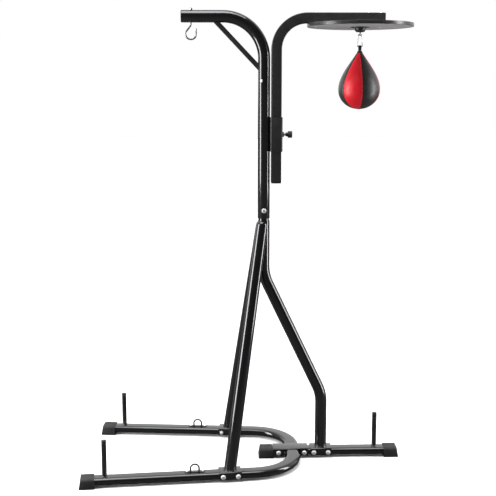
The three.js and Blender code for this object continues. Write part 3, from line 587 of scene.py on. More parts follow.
crossing = moved(saddle("saddle_crossing", inner_edge - 59, outer_edge + 43), shift=ground)
bpy.ops.mesh.primitive_cube_add(size=1, location=at(U_CLOSED, 0, BASE_TOP / 2))
notch = named("notch")
notch.scale = Vector((BASE_WIDE + 10, 4 * SADDLE_HALF, BASE_TOP + 0.6)) * MM
carve(crossing, set_place(notch))
settle(crossing, gloss_black, nodes="crossing_saddle")

# %% [markdown]
# ## Turned pieces
# Pins, caps, bolt heads, the swivel and the board are all turned. A lathe is a profile spun
# through a full turn: one point is drawn along the profile, spun, and closed by merging doubles.

# %% Turned pieces


def turned(name, profile, steps=48):
    """Spins (radius, height) pairs in millimetres round the Z axis at the origin."""
    points = [Vector((r, 0, z)) * MM for r, z in profile]
    bpy.ops.object.select_all(action="DESELECT")
    bpy.ops.mesh.primitive_plane_add(size=0.0002, location=points[0])
    piece = set_place(named(name))
    edit(piece)
    bpy.ops.mesh.merge(type="CENTER")
    for before, after in zip(points, points[1:]):
        bpy.ops.mesh.extrude_vertices_move(TRANSFORM_OT_translate={"value": after - before})
    bpy.ops.mesh.select_all(action="SELECT")
    bpy.ops.mesh.spin(steps=steps, angle=2 * math.pi, center=(0, 0, 0), axis=(0, 0, 1))
    return tidy_skin(piece)


def hex_rod(name, across, low, high, sides=6):
    bpy.ops.object.select_all(action="DESELECT")
    bpy.ops.mesh.primitive_cylinder_add(
        vertices=sides, radius=across / 2 * MM, depth=(high - low) * MM,
        location=(0, 0, (high + low) / 2 * MM),
    )
    return set_place(named(name))


def thread(radius, low, high, pitch=1.5):
    """A threaded end's profile: small ridges from low to high."""
    turns = max(1, round((high - low) / pitch))
    step = (high - low) / turns
    ridges = []
    for i in range(turns):
        ridges += [(radius, low + (i + 0.25) * step), (radius - 0.7, low + (i + 0.75) * step)]
    return ridges


# %% [markdown]
# ## Cross bolts
# Every saddle is held by bolts right through the tube: a round button head with a hexagon socket
# on a washer, and a nut on the other side with a little thread past it. One is modelled along Z
# and copied.

# %% Cross bolts


def cross_bolt(name, half, socket=7.4):
    """A bolt along Y, head to the front, through something that is half thick each way."""
    near, far = -half - 0.3, half + 0.3
    head = turned(name, [
        (0, near - 6), (4.6, near - 6), (8.6, near - 4.9), (10.3, near - 2.8), (10.5, near - 1.7),
        (11.5, near - 1.7), (11.5, near), (5, near), (5, far + 8.2), *thread(5, far + 8.2, far + 10.6),
        (3.8, far + 11), (0, far + 11),
    ], 40)
    carve(head, hex_rod("socket", socket, near - 7, near - 2.4))
    nut = turned("nut_blank", [
        (5.2, far), (9.3, far), (9.5, far + 0.5), (9.5, far + 7), (8.4, far + 8), (5.2, far + 8),
        (5.2, far),
    ], 40)
    carve(nut, hex_rod("flats", 19, far - 1, far + 9), mode="INTERSECT")
    bolt = joined(head, nut)
    return moved(bolt, (-math.pi / 2, 0, 0))


BOLT_PITCH = 70
saddle_bolt = cross_bolt("saddle_bolt", SADDLE_HALF)
for side, (turn, place) in saddle_places.items():
    for i, dx in enumerate((-BOLT_PITCH / 2, BOLT_PITCH / 2)):
        along = Matrix.Rotation(turn, 3, "Z") @ Vector((dx * MM, 0, BASE_MID * MM))
        name = "bolt_%s_%d" % (side, i + 1)
        flip = math.pi if side == "far" else 0
        piece = copied(saddle_bolt, name, (0, 0, turn + flip), place + along)
        settle(piece, zinc, nodes="saddle_bolt_%s_%d" % (side, i + 1))
for side, x in (("inner", inner_edge - 5 - 27), ("outer", outer_edge + 5 + 19)):
    piece = copied(saddle_bolt, "bolt_crossing_" + side, shift=at(x, 0, BASE_MID))
    settle(piece, zinc, nodes="crossing_bolt_" + side)
bpy.data.objects.remove(saddle_bolt)

# %% [markdown]
# ## Legs
# The rear leg bends twice and runs straight up into the neck. The front legs lean in and are
# ground to a saddle shape where they meet it. They are drawn solid, because their tops are closed
# and rounded over, and the rear leg's own path cuts the fit.

# %% Legs
TUBE, WALL = 57, 2
POST_LOW, NECK_SHOWS = 1193, 12
LEG_TOP = POST_LOW - NECK_SHOWS
LEG_FOOT = SADDLE_TOP + 0.3
REAR_BEND = 200


def rear_run(top):
    return [at(0, 0, top), at(0, 0, 918), at(REAR_LEG_X, 0, 322), at(REAR_LEG_X, 0, LEG_FOOT)]


rear = round_tube("leg_rear", rear_run(LEG_TOP), TUBE, REAR_BEND, 16, 64, WALL)
settle(rear, gloss_black, nodes="rear_leg")


def slab(name, low, high):
    bpy.ops.object.select_all(action="DESELECT")
    bpy.ops.mesh.primitive_cube_add(size=1, location=(low + high) / 2)
    piece = named(name)
    piece.scale = high - low
    return set_place(piece)


KNEE_Z = LEG_TOP - 121
TOP_ROUND = 25
for side, sign in sides:
    foot = at(FRONT_LEG_X, sign * half_spread(FRONT_LEG_X), LEG_FOOT)
    knee = at(-22, sign * 30, KNEE_Z)
    top = at(-5, sign * 6, LEG_TOP)
    below = foot.lerp(knee, -0.05)
    leg = round_tube("leg_" + side, [below, knee, top], TUBE, 400, 12, 64)
    edges_where(leg, lambda a, b: min(a.z, b.z) > LEG_TOP - 20)
    bpy.ops.mesh.bevel(offset=TOP_ROUND * MM, segments=10, affect="EDGES")
    bpy.ops.object.mode_set(mode="OBJECT")
    carve(leg, round_tube("cope", rear_run(POST_LOW), TUBE + 0.6, REAR_BEND, 16, 64))
    carve(leg, slab("floor_cut", at(-600, -600, -100), at(600, 600, LEG_FOOT)))
    other = slab("other_half", *((at(-400, -0.15, 500), at(400, 400, 1400)) if sign < 0
                                 else (at(-400, -400, 500), at(400, 0.15, 1400))))
    carve(leg, other)
    soften(leg, 1.6, 3, 50)
    settle(leg, gloss_black, nodes="front_leg_" + side, angle=40)
print("legs stand from", round(LEG_FOOT), "to", LEG_TOP, "mm")

# %% [markdown]
# ## Weld beads
# Each leg is welded round its foot. A thin torus with its points pushed about a little, by a
# seeded shuffle, reads as a bead of weld under the paint.

# %% Weld beads


def weld_ring(name, place, across, lean=(0, 0, 0), bead=3.2):
    bpy.ops.object.select_all(action="DESELECT")
    bpy.ops.mesh.primitive_torus_add(
        major_radius=(across / 2 + 0.8) * MM, minor_radius=bead * MM,
        major_segments=90, minor_segments=10,
    )
    ring = named(name)
    edit(ring)
    bpy.ops.transform.vertex_random(offset=0.45 * MM, seed=len(name))
    moved(ring, lean, place)
    return settle(ring, gloss_black)


weld_ring("weld_rear", at(REAR_LEG_X, 0, LEG_FOOT), TUBE)
for side, sign in sides:
    foot = at(FRONT_LEG_X + 0.4, sign * (half_spread(FRONT_LEG_X) - 0.6), LEG_FOOT)
    weld_ring("weld_" + side, foot, TUBE + 1.4)

# %% [markdown]
# ## Neck, post and arm
# The post slips over a smaller tube that is fixed in the rear leg's top, and one bolt holds it.
# Above, the same tube bends over into the heavy-bag arm.

# %% Neck, post and arm
ARM_END, ARM_BEND = -380, 190
spigot = turned("neck_tube", [
    (23, LEG_TOP - 90), (25, LEG_TOP - 90), (25, POST_LOW + 110), (23, POST_LOW + 110),
    (23, LEG_TOP - 90),
], 64)
settle(moved(spigot, shift=ground), gloss_black, nodes="neck_spigot")
post_run = [at(0, 0, POST_LOW), at(0, 0, ARM_Z), at(ARM_END, 0, ARM_Z)]
post = round_tube("post_and_arm", post_run, TUBE, ARM_BEND, 24, 64, WALL)
settle(soften(post, 0.4, 2, 60), gloss_black, nodes="main_post")
neck = cross_bolt("neck_bolt_round", TUBE / 2, 10.5)
settle(moved(neck, shift=at(0, 0, POST_LOW + 38)), zinc, nodes="neck_bolt")

plug = turned("arm_end_cap", [
    (0, -14), (26, -14), (26.2, 0.3), (27.5, 0.4), (27.5, 2.6), (26, 3.9), (12, 4.3), (0, 4.3),
], 48)
moved(plug, (0, -math.pi / 2, 0), at(ARM_END, 0, ARM_Z))
settle(plug, plastic, nodes="arm_end_plug")

# %% [markdown]
# ## Brace
# A square bar stiffens the bend. Its two ends are cut to the tubes' round sides.

# %% Brace
BRACE_X, BRACE_DROP, BRACE_WIDE = -245, 257, 22
brace = shaped_tube(
    "brace_bar", [at(BRACE_X, 0, ARM_Z), at(0, 0, ARM_Z - BRACE_DROP)],
    BRACE_WIDE, BRACE_WIDE, 2.5, curve=4,
)
carve(brace, round_tube("cutter", post_run, TUBE + 0.6, ARM_BEND, 24, 64))
settle(brace, matt_black, nodes="arm_brace")

# %% [markdown]
# ## Hook
# Bent wire with an open loop. Its threaded shank goes up through the arm and turns freely under
# its nut.

# %% Hook
HOOK_X, HOOK_R, WIRE = -338, 24, 8
loop_z = ARM_Z - 80
ARM_TOP = ARM_Z + TUBE / 2
hook = round_tube("hook_wire", [
    at(HOOK_X, 0, ARM_TOP + 10.3), at(HOOK_X, 0, loop_z + HOOK_R + 14),
    at(HOOK_X - HOOK_R, 0, loop_z + 8), at(HOOK_X - HOOK_R, 0, loop_z - HOOK_R),
    at(HOOK_X + HOOK_R, 0, loop_z - HOOK_R), at(HOOK_X + HOOK_R, 0, loop_z + HOOK_R),
], WIRE, HOOK_R * 0.95, 12, 24)
settle(soften(hook, 1.2, 3, 60), wire_steel, "bag_hook", "heavy_bag_hook")
nut = turned("hook_top_nut", [(4.3, 0), (8, 0), (8.5, 0.6), (8.5, 5.8), (7.4, 7), (4.3, 7), (4.3, 0)], 36)
carve(nut, hex_rod("flats", 17, -1, 8), mode="INTERSECT")
settle(moved(nut, shift=at(HOOK_X, 0, ARM_TOP + 0.3)), wire_steel, "bag_hook", "hook_nut")

# %% [markdown]
# ## Feet
# Rubber boots hug the base's four ends. A block has its long top edges rolled over with a wide
# bevel, its toe leaned back, and a pocket pushed in where the tube enters. One is modelled round
# the origin with the tube coming from +X.

# %% Feet
BOOT_HALF = BASE_WIDE / 2 + 3.8
BOOT_TOP = BASE_TOP + 3.8
TOE, BACK = -13, 59


boot = slab("boot", Vector((TOE, -BOOT_HALF, 0)) * MM, Vector((BACK, BOOT_HALF, BOOT_TOP)) * MM)
edges_where(boot, lambda a, b: a.z > 1 and b.z > 1 and abs(a.x - b.x) > 1)
bpy.ops.mesh.bevel(offset=13 * MM, segments=8, affect="EDGES")
bpy.ops.object.mode_set(mode="OBJECT")
for point in boot.data.vertices:
    lean = 8 if point.co.x < 0 else -2
    point.co.x += lean * MM * point.co.z / (BOOT_TOP * MM)
tube_end = shaped_tube(
    "tube_end", [Vector((-0.3, 0, BASE_MID)) * MM, Vector((BACK + 20, 0, BASE_MID)) * MM],
    BASE_WIDE + 0.6, BASE_HIGH + 0.6, BASE_HIGH / 2, curve=10,
)
carve(boot, tube_end)
rib = slab("groove", Vector((BACK - 11, -60, -1)) * MM, Vector((BACK - 9, 60, 80)) * MM)
RIB_DEEP = 0.9
core = slab(
    "core", Vector((TOE - 5, -BOOT_HALF + RIB_DEEP, -5)) * MM,
    Vector((BACK + 5, BOOT_HALF - RIB_DEEP, BOOT_TOP - RIB_DEEP)) * MM,
)
edges_where(core, lambda a, b: a.z > 1 and b.z > 1 and abs(a.x - b.x) > 1)
bpy.ops.mesh.bevel(offset=12 * MM, segments=8, affect="EDGES")
carve(rib, core)
carve(boot, rib)
soften(boot, 1.3, 3, 35)
boots = {
    side: (side_turn[side], at(U_OPEN[side], sign * half_spread(U_OPEN[side]), 0))
    for side, sign in sides
}
boots |= {
    "rear_in": (0, at(STUB_END, 0, 0)),
    "rear_out": (math.pi, at(REAR_END, 0, 0)),
}
for side, (turn, place) in boots.items():
    piece = copied(boot, "boot_" + side, (0, 0, turn), place)
    settle(piece, rubber, nodes="foot_" + side)
bpy.data.objects.remove(boot)

# %% [markdown]
# ## Plate pegs
# Three pins hold weight plates. Each stands in a small weld flare and has a plastic cap on top.

# %% Plate pegs
PEG_R, PEG_LONG, CAP = 11.5, 172, 9
NECK_R = PEG_R - 1.8
PEG_LOW = BASE_TOP + 0.3
peg = turned("peg", [
    (0, 0), (PEG_R + 3, 0), (PEG_R + 2.2, 1.4), (PEG_R + 0.7, 2.6), (PEG_R, 4.2),
    (PEG_R, PEG_LONG - CAP - 0.6), (PEG_R - 0.3, PEG_LONG - CAP - 0.3),
    (NECK_R, PEG_LONG - CAP - 0.3), (NECK_R, PEG_LONG), (0, PEG_LONG),
], 40)
cap = turned("cap", [
    (0, PEG_LONG + 0.3), (NECK_R + 0.3, PEG_LONG + 0.3), (NECK_R + 0.3, PEG_LONG - CAP),
    (PEG_R - 0.3, PEG_LONG - CAP), (PEG_R, PEG_LONG - CAP + 0.5), (PEG_R, PEG_LONG + 0.4),
    (PEG_R - 0.9, PEG_LONG + 1.5), (PEG_R - 3, PEG_LONG + 1.8), (0, PEG_LONG + 1.8),
], 40)
PEG_IN = 104
peg_places = {"rear": at(REAR_END - PEG_IN, 0, PEG_LOW)}
for side, sign in sides:
    x = U_OPEN[side] + PEG_IN
    peg_places[side] = at(x, sign * half_spread(x), PEG_LOW)
for side, place in peg_places.items():
    piece = copied(peg, "plate_peg_" + side, shift=place)
    settle(piece, gloss_black, nodes="peg_" + side)
    piece = copied(cap, "plate_peg_cap_" + side, shift=place)
    settle(piece, plastic, nodes="peg_cap_" + side)
bpy.data.objects.remove(peg)
bpy.data.objects.remove(cap)

# %% [markdown]
# ## Pad eyes
# A wire arch on a strap, screwed to the base on each side, for the cord of a double-end bag.

# %% Pad eyes
EYE_X, EYE_R = -331, 20
STRAP_TOP = 3
strap = shaped_tube("pad_eye", [Vector((0, 0, 0)), Vector((0, 0, STRAP_TOP * MM))], 95, 20, 9.9, curve=10)
soften(strap, 0.7, 2, 60)
arch_z = STRAP_TOP + 14 + EYE_R
arch = round_tube("arch", [
    Vector(p) * MM for p in (
        (-EYE_R, 0, STRAP_TOP - 1.5), (-EYE_R, 0, arch_z),
        (EYE_R, 0, arch_z), (EYE_R, 0, STRAP_TOP - 1.5),
    )
], 8.5, EYE_R - 0.01, 12, 24)
carve(strap, arch, mode="UNION")


def cross_head(name, radius):
    """A round screw head, 3.2 mm high, with a cross recess."""
    head = turned(name, [
        (0, 0), (radius, 0), (radius, 0.7), (radius * 0.85, 2), (radius * 0.5, 3), (0, 3.2),
    ], 32)
    for turn in (0, math.pi / 2):
        bar = slab("slot", Vector((-radius / 2, -0.5, 1.6)) * MM, Vector((radius / 2, 0.5, 5)) * MM)
        carve(head, moved(bar, (0, 0, turn)))
    return head


screw = cross_head("screw", 4.5)
for side, sign in sides:
    turn = side_turn[side]
    place = at(EYE_X, sign * half_spread(EYE_X), PEG_LOW)
    piece = copied(strap, "pad_eye_loop_" + side, (0, 0, turn), place)
    settle(piece, gloss_black, nodes="pad_eye_" + side, angle=40)
    for i, end in enumerate((-1, 1)):
        along = Matrix.Rotation(turn, 3, "Z") @ Vector((end * 37 * MM, 0, (STRAP_TOP + 0.3) * MM))
        name = "pad_screw_%s_%d" % (side, i + 1)
        piece = copied(screw, name, (0, 0, turn + end * 0.6), place + along)
        settle(piece, zinc, nodes="pad_eye_screw_%s_%d" % (side, i + 1))
bpy.data.objects.remove(strap)
bpy.data.objects.remove(screw)
POST_TURN = math.radians(-28)
face = 28.8
screw_place = at(face * math.sin(POST_TURN), -face * math.cos(POST_TURN), ARM_Z - 294)
post_head = moved(cross_head("post_screw_head", 7), (math.pi / 2, 0, POST_TURN), screw_place)
settle(post_head, zinc, nodes="post_screw")

# %% [markdown]
# ## Sleeve and clamp
# A square socket is welded up the post. Its screw presses a pad on the sliding tube, and the
# lobed knob turns the screw.

# %% Sleeve and clamp
SLEEVE_LOW, SLEEVE_HIGH = 1509, 1669
CLAMP_Z = (SLEEVE_LOW + SLEEVE_HIGH) / 2
SLEEVE_HALF = 29
BOSS_FACE = SLIDE_X + SLEEVE_HALF + 7
sleeve = shaped_tube(
    "sleeve_socket", [at(SLIDE_X, 0, SLEEVE_LOW), at(SLIDE_X, 0, SLEEVE_HIGH)],
    2 * SLEEVE_HALF, 2 * SLEEVE_HALF, 8, curve=6, wall=4,
)
soften(sleeve, 0.7, 2, 60)
boss = turned("boss", [
    (6.3, -1), (13.4, -1), (12.6, 1), (12, 2.4), (12, 6.2), (11.2, 7), (7, 7), (6.3, 6.4), (6.3, -1),
], 40)
joined(sleeve, moved(boss, (0, math.pi / 2, 0), at(SLIDE_X + SLEEVE_HALF, 0, CLAMP_Z)))
settle(sleeve, matt_black, nodes="height_sleeve")
for side, sign in sides:
    ends = [at(25, sign * 14, SLEEVE_LOW + 5), at(25, sign * 14, SLEEVE_HIGH - 5)]
    bead = round_tube("bead", ends, 7, sides=16)
    edit(bead)
    bpy.ops.mesh.select_all(action="SELECT")
    bpy.ops.mesh.subdivide(number_cuts=30, quadcorner="INNERVERT")
    bpy.ops.transform.vertex_random(offset=0.3 * MM, seed=4)
    bead.name = "weld_sleeve_" + side
    settle(bead, matt_black, angle=60)

KNOB_D, KNOB_H = 33, 31
KNOB_LOW = BOSS_FACE + 8
screw_low = SLIDE_X + 24 + 0.3 + 0.6 + 3 + 0.3 - KNOB_LOW
screw_high = KNOB_H * 0.7
clamp_rod = turned("clamp_rod", [
    (0, screw_low), (5, screw_low), *thread(6, screw_low + 0.6, screw_high - 1, 1.75),
    (5, screw_high), (0, screw_high),
], 32)
moved(clamp_rod, (0, math.pi / 2, 0), at(KNOB_LOW, 0, CLAMP_Z))
settle(clamp_rod, zinc, "clamp_handle", "clamp_screw")

LOBES = 8
knob = hex_rod("knob_lobed", KNOB_D, KNOB_H * 0.35, KNOB_H, LOBES * 2)
edit(knob, "DESELECT")
bpy.ops.object.mode_set(mode="OBJECT")
for point in knob.data.vertices:
    turn = round(math.atan2(point.co.y, point.co.x) / math.pi * LOBES)
    point.select = turn % 2 == 1
bpy.ops.object.mode_set(mode="EDIT")
bpy.ops.transform.resize(value=(0.86, 0.86, 1), center_override=(0, 0, 0))
bpy.ops.object.mode_set(mode="OBJECT")
edges_where(knob, lambda a, b: abs(a.z - b.z) > 1)
bpy.ops.mesh.bevel(offset=2.4 * MM, segments=4, affect="EDGES")
bpy.ops.object.mode_set(mode="OBJECT")
soften(knob, 2.2, 4, 60)
hub = turned("hub", [
    (0, 0), (8.2, 0), (8.9, 0.6), (10.2, KNOB_H * 0.4), (0, KNOB_H * 0.4),
], 40)
carve(knob, hub, mode="UNION")
carve(knob, hex_rod("bore", 12.6, -1, KNOB_H * 0.7 + 0.3, 40))
moved(knob, (0, math.pi / 2, 0), at(KNOB_LOW, 0, CLAMP_Z))
settle(knob, plastic, "clamp_handle", "clamp_knob", angle=40)

# %% [markdown]
# ## Sliding arm
# Square tube with small outside corners, bent once, with a cap in each open end.

# %% Sliding arm
SQUARE, TAIL_Z = 48, 1364
TIP_X = BOARD_X + 110
sliding = shaped_tube(
    "sliding_tube", [at(SLIDE_X, 0, TAIL_Z), at(SLIDE_X, 0, SQUARE_Z), at(TIP_X, 0, SQUARE_Z)],
    SQUARE, SQUARE, 4, 143, 24, 5, 2.5,
)
settle(soften(sliding, 0.4, 2, 60), matt_black, "sliding_arm", "speed_bag_arm")
end_cap = shaped_tube("end_cap", [Vector((0, 0, 0.3)) * MM, Vector((0, 0, 4.3)) * MM], 46, 46, 4, curve=5)
soften(end_cap, 1.2, 3, 60)
shank = shaped_tube("shank", [Vector((0, 0, -14)) * MM, Vector((0, 0, 1)) * MM], 42.4, 42.4, 2, curve=3)
carve(end_cap, shank, mode="UNION")
for name, turn, place in (
    ("tip", (0, math.pi / 2, 0), at(TIP_X, 0, SQUARE_Z)),
    ("tail", (math.pi, 0, 0), at(SLIDE_X, 0, TAIL_Z)),
):
    piece = copied(end_cap, "sliding_cap_" + name, turn, place)
    settle(piece, plastic, "sliding_arm", "arm_%s_plug" % name)
bpy.data.objects.remove(end_cap)

# %% [markdown]
# ## Board
# A round board hangs under the arm. Its trim is a separate ring, so the join between face and
# edge stays crisp. Three bolts go up through the arm.

# %% Board
BOARD_R, RIM = 246, 3
BOARD_TOP = SQUARE_Z - SQUARE / 2 - 0.3
BOARD_LOW = BOARD_TOP - 16
board_place = at(BOARD_X, 0, 0)
core_r = BOARD_R - RIM - 0.3
board = turned("board_disc", [
    (0, BOARD_LOW), (core_r - 0.6, BOARD_LOW), (core_r, BOARD_LOW + 0.6), (core_r, BOARD_TOP - 0.6),
    (core_r - 0.6, BOARD_TOP), (0, BOARD_TOP),
], 128)
settle(moved(board, shift=board_place), laminate, "sliding_arm", "rebound_board")
rim = turned("board_trim", [
    (BOARD_R - RIM, BOARD_LOW), (BOARD_R - 1.4, BOARD_LOW), (BOARD_R - 0.4, BOARD_LOW + 0.8),
    (BOARD_R, BOARD_LOW + 3), (BOARD_R, BOARD_TOP - 3), (BOARD_R - 0.4, BOARD_TOP - 0.8),
    (BOARD_R - 1.4, BOARD_TOP), (BOARD_R - RIM, BOARD_TOP), (BOARD_R - RIM, BOARD_LOW),
], 128)
settle(moved(rim, shift=board_place), trim, "sliding_arm", "board_rim")

FLANGE_TOP = BOARD_LOW - 0.3
FLANGE_LOW_Z = FLANGE_TOP - 3
TUBE_TOP = SQUARE_Z + SQUARE / 2 + 0.3
for name, dx, stick, head in (
    ("inner", -206, 2, BOARD_LOW), ("middle", 35, 2, FLANGE_LOW_Z), ("outer", 90, 8, BOARD_LOW),
):
    low, end = head - 0.3, TUBE_TOP + 5 + stick
    bolt = turned("board_bolt_round_" + name, [
        (0, low - 3), (3.5, low - 2.6), (6, low - 1.6), (7, low - 0.5), (7, low), (4, low),
        (4, TUBE_TOP + 5), *thread(4, TUBE_TOP + 5, end - 0.3, 1.25), (3, end), (0, end),
    ], 32)
    nut = turned("nut", [
        (4.1, TUBE_TOP), (6.6, TUBE_TOP), (7, TUBE_TOP + 0.5), (7, TUBE_TOP + 4.3),
        (6.3, TUBE_TOP + 5), (4.1, TUBE_TOP + 5), (4.1, TUBE_TOP),
    ], 32)
    carve(nut, hex_rod("flats", 14, TUBE_TOP - 1, TUBE_TOP + 6), mode="INTERSECT")
    joined(bolt, nut)
    settle(moved(bolt, shift=at(BOARD_X + dx, 0, 0)), zinc, "sliding_arm", "board_bolt_" + name)
print("board from", round(BOARD_LOW, 1), "to", round(BOARD_TOP, 1), "mm")

# %% [markdown]
# ## Swivel
# A dished housing on a flange holds a ball. The ball's shank ends in an eye, so the bag can spin,
# swing and tilt.

# %% Swivel
DOME_LOW = FLANGE_LOW_Z - 20
THROAT = 7
housing = turned("swivel_cup", [
    (THROAT, DOME_LOW + 0.6), (THROAT + 0.6, DOME_LOW), (15, DOME_LOW), (19.5, DOME_LOW + 1.6),
    (22.6, DOME_LOW + 5), (24.8, DOME_LOW + 10), (25.8, DOME_LOW + 15), (26.4, DOME_LOW + 18),
    (28.4, FLANGE_LOW_Z - 0.1), (31, FLANGE_LOW_Z), (42.2, FLANGE_LOW_Z), (43, FLANGE_LOW_Z + 0.8),
    (43, FLANGE_TOP), (23, FLANGE_TOP), (23, DOME_LOW + 15), (10, DOME_LOW + 7),
    (THROAT, DOME_LOW + 3), (THROAT, DOME_LOW + 0.6),
], 64)
carve(housing, moved(hex_rod("hole", 9, FLANGE_LOW_Z - 5, FLANGE_TOP + 5, 32), shift=Vector((35, 0, 0)) * MM))
moved(housing, shift=board_place)
for i in range(3):
    turn = math.pi / 2 * (i + 1)
    place = board_place + Vector((35 * math.cos(turn), 35 * math.sin(turn), 0)) * MM
    rivet = turned("rivet", [
        (0, FLANGE_LOW_Z - 2), (2.2, FLANGE_LOW_Z - 1.7), (3.6, FLANGE_LOW_Z - 0.6),
        (3.8, FLANGE_LOW_Z + 0.1), (0, FLANGE_LOW_Z + 0.1),
    ], 24)
    joined(housing, moved(rivet, shift=place))
settle(housing, plastic, "sliding_arm", "swivel_housing")

RING_Z = DOME_LOW - 8
RING_R, RING_WIRE = 7.5, 5
BALL_Z = DOME_LOW + 3 + 9 + 1
bpy.ops.object.select_all(action="DESELECT")
bpy.ops.mesh.primitive_uv_sphere_add(
    segments=40, ring_count=24, radius=9 * MM, location=at(BOARD_X, 0, BALL_Z)
)
ball = set_place(named("swivel_eye"))
shank = turned("shank", [
    (0, RING_Z + RING_R - 1), (3.2, RING_Z + RING_R - 1), (3.5, RING_Z + RING_R + 2),
    (3.5, BALL_Z), (0, BALL_Z),
], 32)
carve(ball, moved(shank, shift=board_place), mode="UNION")
bpy.ops.mesh.primitive_torus_add(
    major_radius=RING_R * MM, minor_radius=RING_WIRE / 2 * MM, major_segments=48, minor_segments=20,
    location=at(BOARD_X, 0, RING_Z), rotation=(0, math.pi / 2, 0),
)
carve(ball, set_place(named("ring")), mode="UNION")
settle(ball, chrome, "swivel", "swivel_stem", angle=45)

# %% [markdown]
# ## Bail
# Spring wire in the shape of a pear. Its two ends turn inwards as pins through the bag's loop.

# %% Bail
LINK_WIRE, LINK_HALF = 4.5, 11.5
PIVOT_Z = RING_Z - RING_R
PIN_Z = PIVOT_Z - 50
apex = RING_WIRE / 2 + LINK_WIRE / 2 + 0.3
bail = round_tube("bail_wire", [
    at(BOARD_X + x, 0, z) for x, z in (
        (-1.2, PIN_Z), (-LINK_HALF, PIN_Z), (-apex * 1.3, PIVOT_Z + apex),
        (apex * 1.3, PIVOT_Z + apex), (LINK_HALF, PIN_Z), (1.2, PIN_Z),
    )
], LINK_WIRE, LINK_WIRE / 2 + 1, 10, 24)
settle(soften(bail, 0.5, 2, 60), chrome, "bail", "bag_link")

# %% [markdown]
# ## Leather
# Grain is small cells with creases between them. The bag's six panels alternate red and black. The
# skin will carry two marks of its own: which faces are dyed black, and how close a point is to a
# seam, which the finish uses to paint shade darker into the seam creases. The finish reads them, so
# the dye ends exactly on the seams.

# %% Leather
SEAM_START = math.radians(-147)


def hide_grain(tree, shader, cells, depth):
    creases = add_node(tree, "TexVoronoi", feature="DISTANCE_TO_EDGE", Scale=cells)
    tree.links.new(object_point(tree), creases.inputs["Vector"])
    soft = between(tree, creases.outputs["Distance"], 0, 1, 0.0, 0.25)
    bump(tree, shader, soft, depth, 0.8)
    tree.links.new(between(tree, grain(tree, 30, 4), 0.3, 0.44), shader.inputs["Roughness"])


black_hide, tree, shader = paint_box(
    "black_leather", (0.014, 0.014, 0.015), 0.4, 0.0,
    Coat_Weight=0.05, Coat_Roughness=0.3, Specular_IOR_Level=0.3,
)
hide_grain(tree, shader, 420, 0.0002)
tree.links.new(
    two_tone(tree, grain(tree, 60, 3), (0.010, 0.010, 0.011), (0.024, 0.024, 0.026)),
    shader.inputs["Base Color"],
)

panels, tree, shader = paint_box(
    "bag_leather", (0.6, 0.02, 0.03), 0.4, 0.0, Coat_Weight=0.1, Coat_Roughness=0.25, Specular_IOR_Level=0.3
)
hide_grain(tree, shader, 380, 0.0002)


def marked(tree, name):
    return add_node(tree, "Attribute", attribute_name=name).outputs["Fac"]


red_tone = two_tone(tree, grain(tree, 25, 4), (0.60, 0.006, 0.014), (0.74, 0.012, 0.026))
black_tone = two_tone(tree, grain(tree, 25, 4), (0.014, 0.014, 0.015), (0.028, 0.028, 0.029))
panel_tone = add_node(tree, "Mix", data_type="RGBA")
tree.links.new(marked(tree, "dyed_black"), panel_tone.inputs["Factor"])
tree.links.new(red_tone, panel_tone.inputs[6])
tree.links.new(black_tone, panel_tone.inputs[7])
# painted shade: the leather is mixed towards near black close to each seam, as if shadowed in its crease
crease_shade_mix = add_node(tree, "Mix", data_type="RGBA")
tree.links.new(marked(tree, "seam_crease_painted_shade"), crease_shade_mix.inputs["Factor"])
tree.links.new(panel_tone.outputs[2], crease_shade_mix.inputs[6])
crease_shade_mix.inputs[7].default_value = (0.03, 0.004, 0.006, 1)
tree.links.new(crease_shade_mix.outputs[2], shader.inputs["Base Color"])

# %% [markdown]
# ## Loop and bag
# A folded leather tab holds the bail's pins. The bag under it is six stitched panels round an
# air bladder. Its outline is turned, then a short cloth simulation with pressure blows the panels
# out between their seams, which are pinned. The movement is capped, one subdivision smooths the
# skin, and the seams are pressed in.

# %% Loop and bag
LOOP_TOP = PIN_Z + 6
LOOP_LOW = LOOP_TOP - 24
loop = shaped_tube(
    "neck_loop",
    [at(BOARD_X + x, 0, (LOOP_TOP + LOOP_LOW) / 2) for x in (-7, 7)],
    12, 24, 5.9, curve=10,
)
pin_run = [at(BOARD_X - 14, 0, PIN_Z), at(BOARD_X + 14, 0, PIN_Z)]
carve(loop, round_tube("pin_hole", pin_run, LINK_WIRE + 1.6, sides=24))
soften(loop, 0.8, 2, 60)
stitch_x = (-4.4, 4.4)
for x in stitch_x:
    for i in range(4):
        z = PIN_Z - 5.5 - i * 2.8
        for y in (-6, 6):
            stitch = round_tube("stitch", [at(BOARD_X + x, y, z), at(BOARD_X + x, y, z - 2)], 0.9, sides=8)
            joined(loop, stitch)
settle(loop, black_hide, "bag", "bag_loop")

BAG_TOP, BAG_HIGH, BAG_R = LOOP_LOW - 0.3, 270, 100
WIDEST, NECK_R = 0.665, 9
ROUND, RINGS = 96, 44
PANEL_STEPS = (16, 18, 16, 16, 16, 14)  # hand-cut panels differ a little
SEAMS = [sum(PANEL_STEPS[:i]) * 2 * math.pi / ROUND for i in range(len(PANEL_STEPS) + 1)]


def bag_radius(share):
    if share > WIDEST:
        low = (share - WIDEST) / (1 - WIDEST)
        return BAG_R * math.sqrt(max(0.0, 1 - low * low))
    return NECK_R + (BAG_R - NECK_R) * math.sin(math.pi / 2 * (share / WIDEST) ** 1.12)


BAG_LOW = BAG_TOP - BAG_HIGH
SLACK = 0.975  # the panels start a little small and swell out to size
outline = [(0, BAG_TOP - 1)]
for i in range(RINGS + 1):
    share = 0.5 - 0.5 * math.cos(math.pi * (i / RINGS) ** 1.0)
    outline.append((max(bag_radius(share) * SLACK, 0.0), BAG_TOP - 1 - share * (BAG_HIGH - 2)))
bag = turned("speed_bag", outline, ROUND)
moved(bag, (0, 0, SEAM_START), board_place)
print("bag skin:", len(bag.data.vertices), "points before it is blown up")


